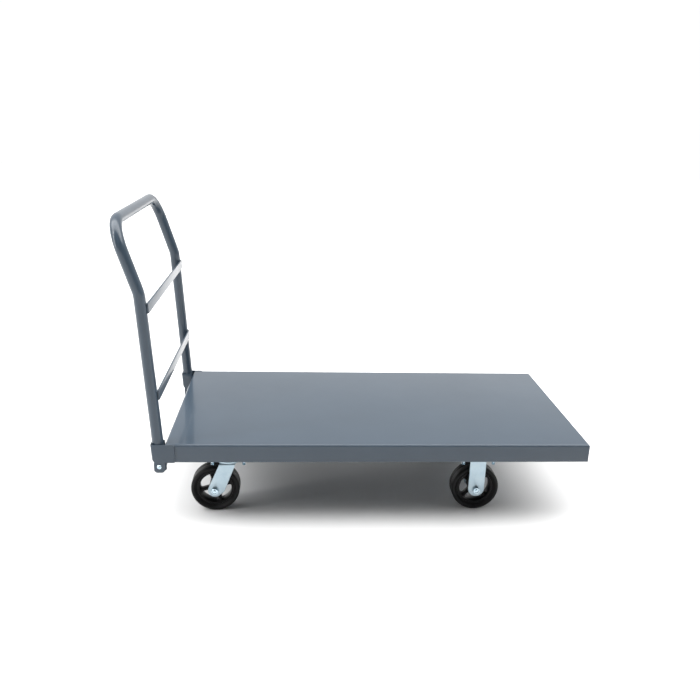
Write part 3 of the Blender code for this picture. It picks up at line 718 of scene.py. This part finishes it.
def handle_corners():
    """Corner points of the handle's centreline, from one foot over the grip to the other."""
    grip_x = tube_x(ELBOW_HEIGHT) - UPPER_LEAN * (GRIP_HEIGHT - ELBOW_HEIGHT)
    one_side = [(tube_x(TUBE_END_HEIGHT), TUBE_END_HEIGHT), (tube_x(ELBOW_HEIGHT), ELBOW_HEIGHT),
                (grip_x, GRIP_HEIGHT)]
    right = [Vector((x, -TUBE_Y, DECK_TOP_Z + height)) for x, height in one_side]
    left = [Vector((point.x, -point.y, point.z)) for point in reversed(right)]
    return right + left


def notch_block():
    """Slot along the tube's lean, open at the foot."""
    centre = Vector((tube_x(STOP_BOLT_HEIGHT), DECK_TOP_Z + STOP_BOLT_HEIGHT))
    down = Vector((math.sin(LEAN_ANGLE), -math.cos(LEAN_ANGLE)))
    across = Vector((math.cos(LEAN_ANGLE), math.sin(LEAN_ANGLE)))
    outline = []
    for step in range(13):
        angle = math.pi * step / 12.0
        outline.append(centre + (across * math.cos(angle) - down * math.sin(angle)) * NOTCH_HALF_WIDTH)
    outline.append(centre - across * NOTCH_HALF_WIDTH + down * 0.04)
    outline.append(centre + across * NOTCH_HALF_WIDTH + down * 0.04)
    reach = DECK_HALF_Y + TUBE_R
    return prism(outline, -reach, reach, "XZ")


def build_handle():
    path = filleted_path(handle_corners(), (ELBOW_R, CORNER_R, CORNER_R, ELBOW_R), (12, 24, 24, 12))
    bm = bmesh.new()
    sides = 48
    outer = swept_loops(bm, path, [TUBE_R] * len(path), sides, (1.0, 0.0, 0.0))
    inner = swept_loops(bm, path, [TUBE_R - TUBE_WALL] * len(path), sides, (1.0, 0.0, 0.0))
    skin(bm, outer)
    skin(bm, inner)
    join_rings(bm, outer[0], inner[0])
    join_rings(bm, outer[-1], inner[-1])
    tube = mesh_object("handle_tube_bent", bm, 50.0)
    cut(tube, notch_block())
    dress(tube, "paint", "handle", ("handle_tube",))
    for name, level in CROSSBAR_LEVELS.items():
        build_crossbar(name, level)


def build_crossbar(name, level):
    """Flat bar across the deck side of both tubes, with its welds."""
    lean = Vector((-math.sin(LEAN_ANGLE), math.cos(LEAN_ANGLE)))
    out = Vector((math.cos(LEAN_ANGLE), math.sin(LEAN_ANGLE)))
    centre = Vector((tube_x(level), DECK_TOP_Z + level))
    near = TUBE_R + GAP
    far = near + CROSSBAR_THICK
    half = CROSSBAR_HEIGHT / 2.0
    corners = [centre + out * near - lean * half, centre + out * far - lean * half,
               centre + out * far + lean * half, centre + out * near + lean * half]
    bar = mesh_object(name + "_bar", prism(corners, -CROSSBAR_REACH, CROSSBAR_REACH, "XZ"))
    eased(bar, 0.0007, 3)
    dress(bar, "paint", "handle", (name,))
    for side, sign in SIDES.items():
        for edge, rise in (("top", half), ("bottom", -half)):
            seat = centre + out * (near - 0.0006) + lean * rise
            points = [(seat.x, sign * TUBE_Y + reach, seat.y)
                      for reach in (-CROSSBAR_WELD_REACH, CROSSBAR_WELD_REACH)]
            bead = weld_bead("_".join(("weld", name, side, edge)), points, CROSSBAR_WELD_R)
            dress(bead, "paint", "handle")
        for flank, place in (("inner", -1.0), ("outer", 1.0)):
            if place * CROSSBAR_FLANK_Y + TUBE_Y > CROSSBAR_REACH:
                continue
            y = sign * (TUBE_Y + place * CROSSBAR_FLANK_Y)
            surface = centre + out * (math.sqrt(TUBE_R ** 2 - CROSSBAR_FLANK_Y ** 2) + 0.0004)
            ends = [surface + lean * end * (half - 0.001) for end in (-1.0, 1.0)]
            bead = weld_bead("_".join(("weld", name, side, flank)), [(end.x, y, end.y) for end in ends],
                             CROSSBAR_FLANK_WELD_R, (0.0, 1.0, 0.0))
            dress(bead, "paint", "handle")


# ---------- sockets
def socket_plan():
    """Outline from above at deck level; Y from the deck's side inwards, X from the deck's end."""
    rear_inner = -TUBE_FOOT_OFFSET - TUBE_R - SOCKET_CLEARANCE
    rear = rear_inner - SOCKET_SHEET
    outer = -GAP - SOCKET_SHEET
    inner_inner = TUBE_INSET + TUBE_R + SOCKET_CLEARANCE
    inner = inner_inner + SOCKET_SHEET
    arm_end = SOCKET_LAP + 0.010
    short_end = -0.0045
    bend_in = SOCKET_BEND_R - SOCKET_SHEET
    return [(arm_end, outer, 0.0), (arm_end, -GAP, 0.0), (rear_inner, -GAP, bend_in),
            (rear_inner, inner_inner, bend_in), (short_end, inner_inner, 0.0), (short_end, inner, 0.0),
            (rear, inner, SOCKET_BEND_R), (rear, outer, SOCKET_BEND_R)]


def socket_side():
    """Side silhouette: wrap, chamfer and tongue."""
    tongue_x = -TUBE_FOOT_OFFSET - LOWER_LEAN * STOP_BOLT_HEIGHT
    left = tongue_x - TONGUE_WIDTH / 2.0
    right = tongue_x + TONGUE_WIDTH / 2.0
    wall = -TUBE_FOOT_OFFSET - TUBE_R - SOCKET_SHEET - LOWER_LEAN * SOCKET_BOTTOM
    chamfer_top = SOCKET_BOTTOM + SOCKET_CHAMFER_HEIGHT
    return [(-0.060, 0.0, 0.0), (-0.060, chamfer_top, 0.0),
            (wall - 0.001, chamfer_top, 0.0), (wall + SOCKET_CHAMFER_WIDTH, SOCKET_BOTTOM, 0.002),
            (left, SOCKET_BOTTOM - 0.002, 0.002), (left, TONGUE_BOTTOM, TONGUE_CORNER_R),
            (right, TONGUE_BOTTOM, TONGUE_CORNER_R), (right, SOCKET_BOTTOM - GAP, 0.0),
            (SOCKET_LAP, SOCKET_BOTTOM - GAP, 0.0008), (SOCKET_LAP, 0.0, 0.0008)]


def build_socket(side, sign):
    plan = [Vector((DECK_END_X + point.x, sign * (DECK_HALF_Y - point.y)))
            for point in rounded_outline(socket_plan(), 8)]
    bm = prism(plan, DECK_TOP_Z + TONGUE_BOTTOM - 0.01, DECK_TOP_Z + 0.01, "XY")
    for vert in bm.verts:
        vert.co.x -= LOWER_LEAN * (vert.co.z - DECK_TOP_Z)
    socket = mesh_object("socket_sheet_" + side, bm)
    reach = sorted((sign * (DECK_HALF_Y - 0.050), sign * (DECK_HALF_Y + 0.010)))
    outline = [Vector((DECK_END_X + point.x, DECK_TOP_Z + point.y))
               for point in rounded_outline(socket_side(), 10)]
    cut(socket, prism(outline, *reach, "XZ"), "INTERSECT")
    bolt_x = tube_x(STOP_BOLT_HEIGHT)
    bolt_z = DECK_TOP_Z + STOP_BOLT_HEIGHT
    cut(socket, prism(circle_outline(STOP_BOLT_R + 0.0004, 32, (bolt_x, bolt_z)), *reach, "XZ"))
    eased(socket, 0.0004, 2)
    dress(socket, "paint", "frame", ("handle_socket_" + side,))
    face = DECK_HALF_Y + GAP + SOCKET_SHEET
    edge_x = DECK_END_X + SOCKET_LAP
    low = DECK_TOP_Z + SOCKET_BOTTOM
    y = sign * (DECK_HALF_Y + 0.0006)
    seams = {"weld_socket_lap_": [(edge_x, y, low + 0.004), (edge_x, y, DECK_TOP_Z - 0.006)],
             "weld_socket_under_": [(DECK_END_X + 0.004, y, low), (edge_x - 0.004, y, low)]}
    for name, points in seams.items():
        dress(weld_bead(name + side, points, SOCKET_WELD_R, (0.0, 1.0, 0.0)), "paint", "frame")
    build_stop_bolt(side, sign, bolt_x, bolt_z, sign * (face + GAP))


def button_bolt(name, seat, outward, shank_r, length, threaded):
    """Dome-headed bolt along Y with a hexagonal driving socket sunk in its head."""
    top = STOP_HEAD_THICK
    rings = [("hex", STOP_SOCKET_AF, outward * (top - STOP_SOCKET_DEPTH)),
             ("hex", STOP_SOCKET_AF, outward * top),
             ("round", STOP_HEAD_R * 0.52, outward * top)]
    for share in (0.66, 0.80, 0.90, 0.97, 1.0):
        drop = 1.0 - math.sqrt(1.0 - share * share * 0.98)
        rings.append(("round", STOP_HEAD_R * share, outward * (top - (top - 0.0009) * drop)))
    rings += [("round", STOP_HEAD_R, 0.0), ("round", shank_r, 0.0)]
    rings += threaded_rings(shank_r, -outward * (length - threaded), -outward * length)
    bm, loops = stacked_rings(rings, "Y", seat)
    cap(bm, loops)
    return mesh_object(name, bm, 30.0)


def build_stop_bolt(side, sign, bolt_x, bolt_z, outer_y):
    """Bright dome-headed bolt outboard and a lock nut inboard."""
    inner_y = sign * (TUBE_Y - TUBE_R - SOCKET_CLEARANCE - SOCKET_SHEET - GAP)
    length = abs(outer_y - inner_y) + STOP_NUT_THICK + BOLT_TAIL
    bolt = button_bolt("stop_bolt_head_" + side, (bolt_x, outer_y, bolt_z), sign, STOP_BOLT_R, length, 0.018)
    dress(bolt, "fastener", "frame", ("stop_bolt_" + side,))
    nut = hex_nut("stop_lock_nut_" + side, "Y", (bolt_x, inner_y, bolt_z), STOP_NUT_AF, STOP_NUT_THICK,
                  STOP_BOLT_R + 0.0003, -sign)
    dress(nut, "fastener", "frame", ("stop_nut_" + side,))


# ---------- wheels
def tyre_profile():
    """Closed profile of a moulded tyre: dished sidewall, round shoulder, shallow parting groove."""
    half = TYRE_WIDTH / 2.0
    rim = RIM_WIDTH / 2.0
    shoulder = 0.0080
    one_side = [(TYRE_INNER_R, rim - 0.0006), (TYRE_INNER_R + 0.0010, rim),
                (TYRE_INNER_R + 0.0026, rim + 0.0002),
                (TYRE_INNER_R + 0.0036, rim + 0.0022), (WHEEL_R - 0.0100, half - 0.0014),
                (WHEEL_R - 0.0086, half - 0.0002)]
    for step in range(9):
        turn = math.radians(90.0) * step / 9.0
        one_side.append((WHEEL_R - shoulder + shoulder * math.sin(turn),
                         half - shoulder + shoulder * math.cos(turn)))
    one_side += [(WHEEL_R - 0.0002, half - shoulder - 0.002), (WHEEL_R, half * 0.3), (WHEEL_R, 0.0008)]
    profile = [(radius, -along) for radius, along in one_side]
    return profile + [(WHEEL_R - 0.0004, 0.0)] + list(reversed(one_side))


def build_wheel(kind, side, body):
    prefix = kind + "_" + side
    low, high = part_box(prefix + "_tyre")
    centre = (low + high) / 2.0
    tyre = mesh_object(prefix + "_tyre_moulded", lathe(tyre_profile(), 128, "Y", centre), 30.0)
    dress(tyre, "tyre", body, (prefix + "_tyre",))
    build_core(prefix, centre, SPOKE_ANGLES[kind], body)


def build_core(prefix, centre, spoke_angle, body):
    """Cast four-spoke core: dished rim, ribbed spokes, long hub."""
    web = WEB_THICK / 2.0
    hub = HUB_LENGTH / 2.0
    rim = RIM_WIDTH / 2.0
    rim_r = TYRE_INNER_R - GAP
    bore = BUSHING_R + 0.0004
    corners = [(bore, -hub, 0.0008), (HUB_R, -hub, 0.0015), (HUB_R + 0.0020, -web, 0.0025),
               (RIM_INNER_R - 0.0020, -web, 0.0035), (RIM_INNER_R, -rim, 0.0010), (rim_r, -rim, 0.0010),
               (rim_r, rim, 0.0010), (RIM_INNER_R, rim, 0.0010), (RIM_INNER_R - 0.0020, web, 0.0035),
               (HUB_R + 0.0020, web, 0.0025), (HUB_R, hub, 0.0015), (bore, hub, 0.0008)]
    core = mesh_object(prefix + "_core_cast", lathe(rounded_profile(corners, 4), 96, "Y", centre))
    for index in range(SPOKE_COUNT):
        cut(core, window_block(centre, spoke_angle, index))
    eased(core, 0.0009, 3, 40.0)
    dress(core, "core", body, (prefix + "_wheel_core",))
    for index in range(SPOKE_COUNT):
        rib = spoke_rib(prefix + "_rib_" + str(index), centre, spoke_angle + 360.0 / SPOKE_COUNT * index)
        dress(rib, "core", body)


def window_block(centre, spoke_angle, index):
    """Block of one window between neighbouring spokes."""
    pitch = 2.0 * math.pi / SPOKE_COUNT
    middle = math.radians(spoke_angle) + pitch * (index + 0.5)
    corners = []
    along_rim = (-1, -0.75, -0.5, -0.25, 0, 0.25, 0.5, 0.75, 1)
    for radius, round_r, order in ((WINDOW_INNER_R, 0.0020, (1, -1)), (WINDOW_OUTER_R, 0.0045, along_rim)):
        spread = pitch / 2.0 - math.asin(SPOKE_WIDTH / 2.0 / radius)
        for place in order:
            angle = middle + spread * place
            corners.append((centre[0] + radius * math.cos(angle), centre[2] + radius * math.sin(angle),
                            round_r if abs(place) == 1 else 0.0))
    return prism(rounded_outline(corners, 5), centre[1] - WEB_THICK, centre[1] + WEB_THICK, "XZ")


def spoke_rib(name, centre, degrees):
    """Raised rib along the middle of one spoke, from hub to rim."""
    turn = math.radians(degrees)
    along = Vector((math.cos(turn), 0.0, math.sin(turn)))
    across = Vector((-math.sin(turn), 0.0, math.cos(turn)))
    bm = bmesh.new()
    loops = []
    for radius, half_width, half_thick in ((HUB_R - 0.001, 0.0032, 0.0160), (0.026, 0.0027, 0.0110),
                                           (0.038, 0.0027, 0.0095), (RIM_INNER_R + 0.001, 0.0034, 0.0130)):
        middle = Vector(centre) + along * radius
        loops.append([bm.verts.new(middle + across * half_width * a + Vector((0.0, half_thick * b, 0.0)))
                      for a, b in ((-1, -1), (1, -1), (1, 1), (-1, 1))])
    skin(bm, loops)
    cap(bm, loops)
    return eased(mesh_object(name, bm), 0.0010, 3)


# ---------- casters
def fork_section(centre_y, crown_top):
    """Downward U of bent plate in YZ."""
    outer = FORK_OUTER_HALF
    inner = FORK_INNER_HALF
    soffit = crown_top - FORK_SHEET
    bend_in = FORK_BEND_R - FORK_SHEET
    corners = [(-outer, FORK_LOW_Z, 0.0), (-inner, FORK_LOW_Z, 0.0), (-inner, soffit, bend_in),
               (inner, soffit, bend_in), (inner, FORK_LOW_Z, 0.0), (outer, FORK_LOW_Z, 0.0),
               (outer, crown_top, FORK_BEND_R), (-outer, crown_top, FORK_BEND_R)]
    return rounded_outline([(centre_y + y, z, radius) for y, z, radius in corners], 8)


def rigid_leg_outline(axle_x):
    half = RIGID_LEG_WIDTH / 2.0
    centre_z = WHEEL_R + RIGID_END_RISE
    outline = [Vector((axle_x + half, CASTER_TOP_Z)), Vector((axle_x - half, CASTER_TOP_Z))]
    for step in range(25):
        angle = math.pi + math.pi * step / 24.0
        outline.append(Vector((axle_x + half * math.cos(angle), centre_z + half * math.sin(angle))))
    return outline


def swivel_leg_outline(axle_x):
    """Raked, tapering leg: round end about the axle, angled toe, straight edges to the crown."""
    top = SWIVEL_CROWN_Z + 0.002 - WHEEL_R
    half = (SWIVEL_REAR_RAKE - SWIVEL_TOE_RAKE) / 2.0
    middle = SWIVEL_TOE_RAKE + half
    reach = SWIVEL_END_R / math.sin(half)
    end = Vector((-math.cos(middle), -math.sin(middle))) * reach
    rear_x = end.x + (top - end.y) / math.tan(SWIVEL_REAR_RAKE)
    front_x = SWIVEL_HEEL[0] + (top - SWIVEL_HEEL[1]) / math.tan(SWIVEL_FRONT_RAKE)
    corners = [(end.x, end.y, SWIVEL_END_R), (*SWIVEL_HEEL, SWIVEL_HEEL_R),
               (front_x, top, 0.0), (rear_x, top, 0.0)]
    return [point + Vector((axle_x, WHEEL_R)) for point in rounded_outline(corners, 20)]


def build_fork(name, section, silhouette, axle, body, replaced, pin_x=None):
    """Bent plate fork cut to its side silhouette, bored for the axle and, if it has one, the kingpin."""
    xs = [point.x for point in silhouette]
    fork = mesh_object(name, prism(section, min(xs) - 0.005, max(xs) + 0.005, "YZ"))
    low = axle.y - FORK_OUTER_HALF - 0.01
    high = axle.y + FORK_OUTER_HALF + 0.01
    cut(fork, prism(silhouette, low, high, "XZ"), "INTERSECT")
    cut(fork, prism(circle_outline(AXLE_R + 0.0003, 32, (axle.x, axle.z)), low, high, "XZ"))
    if pin_x is not None:
        bore = circle_outline(KINGPIN_BORE_R, 32, (pin_x, axle.y))
        cut(fork, prism(bore, SWIVEL_CROWN_Z - 0.02, SWIVEL_CROWN_Z + 0.02, "XY"))
    eased(fork, 0.0009, 3)
    dress(fork, "zinc_brushed", body, (replaced,))


def build_axle(prefix, axle, outward, body):
    head_y = axle.y + outward * (FORK_OUTER_HALF + GAP)
    nut_y = axle.y - outward * (FORK_OUTER_HALF + GAP)
    length = 2.0 * (FORK_OUTER_HALF + GAP) + AXLE_NUT_THICK + BOLT_TAIL
    bolt = hex_bolt(prefix + "_axle_bolt_hex", "Y", (axle.x, head_y, axle.z), AXLE_HEX_AF, AXLE_HEAD_THICK,
                    AXLE_R, length, -outward, AXLE_THREAD, dished_head_rings)
    dress(bolt, "fastener", body, (prefix + "_axle_bolt",))
    nut = hex_nut(prefix + "_axle_lock_nut", "Y", (axle.x, nut_y, axle.z), AXLE_HEX_AF, AXLE_NUT_THICK,
                  AXLE_R + GAP, -outward)
    dress(nut, "fastener", body, (prefix + "_axle_nut",))
    for end in (-1.0, 1.0):
        seat = axle.y + end * (HUB_LENGTH / 2.0 + 0.0001)
        washer = flat_washer(prefix + "_thrust_washer_" + ("in" if end == -outward else "out"), "Y",
                             (axle.x, seat, axle.z), THRUST_WASHER_R, AXLE_R + GAP, THRUST_WASHER_THICK, end)
        dress(washer, "bushing", body)


def build_plate(prefix, centre_x, centre_y):
    """Top plate with its four slots, and the bolts and nuts through them."""
    corners = [(centre_x + sx * PLATE_HALF_X, centre_y + sy * PLATE_HALF_Y, PLATE_CORNER_R)
               for sx, sy in ((-1, -1), (1, -1), (1, 1), (-1, 1))]
    outline = rounded_outline(corners, 6)
    plate = mesh_object(prefix + "_plate_pressed", prism(outline, PLATE_BOTTOM_Z, CASTER_TOP_Z, "XY"))
    for sx in (-1, 1):
        for sy in (-1, 1):
            x = centre_x + sx * PLATE_BOLT_X
            y = centre_y + sy * PLATE_BOLT_Y
            rear = x - SLOT_REACH * (1.0 if sx > 0 else SLOT_OUTER_SHARE)
            front = x + SLOT_REACH * (1.0 if sx < 0 else SLOT_OUTER_SHARE)
            low = y - SLOT_HALF_WIDTH
            high = y + SLOT_HALF_WIDTH
            slot = [(rear, low, SLOT_CORNER_R), (front, low, SLOT_CORNER_R),
                    (front, high, SLOT_CORNER_R), (rear, high, SLOT_CORNER_R)]
            cut(plate, prism(rounded_outline(slot, 6), PLATE_BOTTOM_Z - CUT_MARGIN,
                             CASTER_TOP_Z + CUT_MARGIN, "XY"))
            tag = "_".join((prefix, "rear" if sx < 0 else "front", "right" if sy < 0 else "left"))
            bolt = hex_bolt(tag + "_plate_bolt", "Z", (x, y, CASTER_TOP_Z + PLATE_BOLT_SEAT), PLATE_BOLT_AF,
                            PLATE_BOLT_HEAD, PLATE_BOLT_R, PLATE_BOLT_LENGTH, -1.0, PLATE_BOLT_THREAD)
            washer = flat_washer(tag + "_plate_washer", "Z", (x, y, PLATE_BOTTOM_Z - 0.0001), PLATE_WASHER_R,
                                 PLATE_WASHER_BORE_R, PLATE_WASHER_THICK, -1.0)
            nut = hex_nut(tag + "_plate_nut", "Z", (x, y, PLATE_BOTTOM_Z - PLATE_NUT_DROP), PLATE_BOLT_AF,
                          PLATE_NUT_THICK, PLATE_NUT_BORE_R, -1.0)
            for piece in (bolt, washer, nut):
                dress(piece, "fastener", "frame")
    eased(plate, 0.0006, 2)
    return plate


def build_rigid(side, sign):
    prefix = "rigid_" + side
    low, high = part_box(prefix + "_tyre")
    axle = (low + high) / 2.0
    plate = build_plate(prefix, axle.x, axle.y)
    dress(plate, "zinc", "frame", (prefix + "_plate",))
    crown_top = PLATE_BOTTOM_Z - GAP
    build_fork(prefix + "_fork_bent", fork_section(axle.y, crown_top), rigid_leg_outline(axle.x), axle,
               "frame", prefix + "_fork")
    for end in (-1.0, 1.0):
        x = axle.x + end * (RIGID_LEG_WIDTH / 2.0 + 0.0004)
        points = [(x, axle.y + reach, crown_top - 0.0008) for reach in (-CROWN_WELD_HALF, CROWN_WELD_HALF)]
        bead = weld_bead(prefix + "_crown_weld_" + ("rear" if end < 0 else "front"), points, CROWN_WELD_R)
        dress(bead, "zinc", "frame")
    build_axle(prefix, axle, sign, "frame")
    build_wheel("rigid", side, "wheel_rigid_" + side)


def build_swivel(side, sign):
    prefix = "swivel_" + side
    body = "swivel_" + side
    low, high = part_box(prefix + "_tyre")
    axle = (low + high) / 2.0
    plate_low, plate_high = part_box(prefix + "_plate")
    swivel_x = (plate_low.x + plate_high.x) / 2.0
    plate = build_plate(prefix, swivel_x, axle.y)
    dress(plate, "zinc", "frame", (prefix + "_plate",))
    on_axis = (swivel_x, axle.y)
    bore = circle_outline(KINGPIN_BORE_R, 32, on_axis)
    cut(plate, prism(bore, PLATE_BOTTOM_Z - CUT_MARGIN, CASTER_TOP_Z + CUT_MARGIN, "XY"))
    recess = circle_outline(KINGPIN_HEAD_BORE_R, 32, on_axis)
    cut(plate, prism(recess, CASTER_TOP_Z - KINGPIN_HEAD_DEPTH, CASTER_TOP_Z + CUT_MARGIN, "XY"))
    build_fork(prefix + "_yoke_bent", fork_section(axle.y, SWIVEL_CROWN_Z), swivel_leg_outline(axle.x),
               axle, body, prefix + "_yoke", swivel_x)
    build_race(prefix, swivel_x, axle.y, body)
    build_axle(prefix, axle, sign, body)
    build_wheel("swivel", side, "wheel_swivel_" + side)


def build_race(prefix, swivel_x, centre_y, body):
    """Lower raceway cup on the yoke, upper raceway dome on the plate, and the balls between them."""
    on_axis = (swivel_x, centre_y, 0.0)
    low = SWIVEL_CROWN_Z + GAP
    high = PLATE_BOTTOM_Z - GAP
    cup = [(RACE_BORE_R, low, 0.0005), (0.0425, low, 0.0012),
           (0.0430, low + 0.0060, 0.0008), (0.0405, low + 0.0060, 0.0006),
           (0.0395, low + 0.0024, 0.0012), (0.0340, low + 0.0024, 0.0010), (0.0320, low + 0.0040, 0.0010),
           (RACE_BORE_R, low + 0.0040, 0.0005)]
    lower = mesh_object(prefix + "_lower_raceway", lathe(rounded_profile(cup, 4), 96, "Z", on_axis))
    dress(lower, "zinc", body, (prefix + "_race",))
    dome = [(RACE_BORE_R, low + 0.0056, 0.0004), (0.0345, low + 0.0056, 0.0008),
            (0.0362, low + 0.0078, 0.0010),
            (0.0410, low + 0.0078, 0.0008), (0.0415, high, 0.0004), (RACE_BORE_R, high, 0.0004)]
    upper = mesh_object(prefix + "_upper_raceway", lathe(rounded_profile(dome, 4), 96, "Z", on_axis))
    dress(upper, "zinc", "frame")
    bm = bmesh.new()
    for place in circle_outline(RACE_BALL_CIRCLE_R, RACE_BALL_COUNT, on_axis):
        bmesh.ops.create_uvsphere(bm, u_segments=12, v_segments=8, radius=RACE_BALL_R,
                                  matrix=Matrix.Translation((place.x, place.y, low + RACE_BALL_RISE)))
    balls = mesh_object(prefix + "_race_balls", bm, 60.0)
    dress(balls, "bushing", body)


# ---------- underside
def build_channel(name):
    """Hat channel as modelled, with eased edges and stitch welds along its lips."""
    low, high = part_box(name)
    weld_reach = high.y - CHANNEL_WELD_INSET
    node = frame["nodes"][name]
    channel = bpy.data.objects.new(name + "_formed", node.data.copy())
    bpy.context.scene.collection.objects.link(channel)
    eased(channel, 0.0006, 2, 25.0)
    dress(channel, "paint", "frame", (name,))
    for side, x in (("rear", low.x), ("front", high.x)):
        for index in range(CHANNEL_WELD_COUNT):
            start = -weld_reach + 2.0 * weld_reach * (index + 0.3) / CHANNEL_WELD_COUNT
            points = [(x, start, high.z - 0.0012), (x, start + CHANNEL_WELD_LENGTH, high.z - 0.0012)]
            bead = weld_bead("_".join(("weld", name, side, str(index))), points, CHANNEL_WELD_R)
            dress(bead, "paint", "frame")


# ---------- studio
def build_camera():
    yaw = math.radians(CAMERA_YAW)
    pitch = math.radians(CAMERA_PITCH)
    ahead = Vector((math.sin(yaw) * math.cos(pitch), math.cos(yaw) * math.cos(pitch), -math.sin(pitch)))
    level = Vector((math.cos(yaw), -math.sin(yaw), 0.0))
    below = ahead.cross(level)
    roll = math.radians(CAMERA_ROLL)
    right = level * math.cos(roll) + below * math.sin(roll)
    down = below * math.cos(roll) - level * math.sin(roll)
    rotation = Matrix((right, -down, -ahead)).transposed().to_4x4()
    data = bpy.data.cameras.new("camera")
    data.lens = CAMERA_LENS
    data.sensor_width = 36.0
    data.clip_start = 0.05
    data.clip_end = 60.0
    camera = bpy.data.objects.new("camera", data)
    bpy.context.scene.collection.objects.link(camera)
    camera.matrix_world = Matrix.Translation(CAMERA_PLACE) @ rotation
    bpy.context.scene.camera = camera


def area_light(name, place, target, width, height, power):
    data = bpy.data.lights.new(name, "AREA")
    data.shape = "RECTANGLE"
    data.size = width
    data.size_y = height
    data.energy = power
    light = bpy.data.objects.new(name, data)
    bpy.context.scene.collection.objects.link(light)
    light.location = place
    light.rotation_euler = (Vector(target) - Vector(place)).to_track_quat("-Z", "Y").to_euler()


def studio_world():
    """Soft surroundings: a bright band overhead along the cart, white behind it, dim in front."""
    world = bpy.data.worlds.new("studio_world")
    world.use_nodes = True
    tree = world.node_tree
    direction = tree.nodes.new("ShaderNodeSeparateXYZ")
    tree.links.new(tree.nodes.new("ShaderNodeTexCoord").outputs["Generated"], direction.inputs["Vector"])

    def ranged(socket, from_low, from_high, to_low, to_high):
        node = tree.nodes.new("ShaderNodeMapRange")
        node.interpolation_type = "SMOOTHSTEP"
        for name, value in (("From Min", from_low), ("From Max", from_high),
                            ("To Min", to_low), ("To Max", to_high)):
            node.inputs[name].default_value = value
        tree.links.new(socket, node.inputs["Value"])
        return node.outputs["Result"]

    depth = ranged(direction.outputs["Y"], BACK_START, BACK_FULL, LEVEL_FRONT, LEVEL_BACK)
    height = ranged(direction.outputs["Z"], CAP_START, CAP_FULL, 0.0, LEVEL_CAP)
    sideways = tree.nodes.new("ShaderNodeMath")
    sideways.operation = "ABSOLUTE"
    tree.links.new(direction.outputs["Y"], sideways.inputs[0])
    band = ranged(sideways.outputs["Value"], CAP_SIDE_FULL, CAP_SIDE_END, 1.0, 0.0)
    total = tree.nodes.new("ShaderNodeMath")
    total.operation = "MULTIPLY_ADD"
    tree.links.new(height, total.inputs[0])
    tree.links.new(band, total.inputs[1])
    tree.links.new(depth, total.inputs[2])
    background = tree.nodes["Background"]
    background.inputs["Color"].default_value = (1.0, 1.0, 1.0, 1.0)
    tree.links.new(total.outputs["Value"], background.inputs["Strength"])
    bpy.context.scene.world = world


def build_studio():
    bm = bmesh.new()
    corners = ((-1.0, -1.0), (1.0, -1.0), (1.0, 1.0), (-1.0, 1.0))
    bm.faces.new([bm.verts.new((x * FLOOR_HALF, y * FLOOR_HALF, 0.0)) for x, y in corners])
    floor = mesh_object("studio_floor", bm)
    floor.data.materials.append(floor_material("studio_floor_paint"))
    studio_world()
    area_light("left_strip", STRIP_PLACE, STRIP_TARGET, STRIP_WIDTH, STRIP_HEIGHT, STRIP_POWER)
    scene = bpy.context.scene
    scene.view_settings.view_transform = "Standard"
    scene.view_settings.look = "None"


# ---------- assembly
build_deck()
build_handle()
for side_name, side_sign in SIDES.items():
    build_socket(side_name, side_sign)
    build_rigid(side_name, side_sign)
    build_swivel(side_name, side_sign)
for channel_name in ("caster_bolster_handle_end", "caster_bolster_free_end",
                     "cross_stiffener_handle_end", "cross_stiffener_free_end"):
    build_channel(channel_name)
KEPT_SLOTS = {row["node"]: row["material_slot"] for row in frame["record"]["subparts"]}
for node_name, node in frame["nodes"].items():
    if not node.hide_render:
        node.data.materials.clear()
        node.data.materials.append(MATERIALS[KEPT_SLOTS[node_name]])
build_camera()
build_studio()
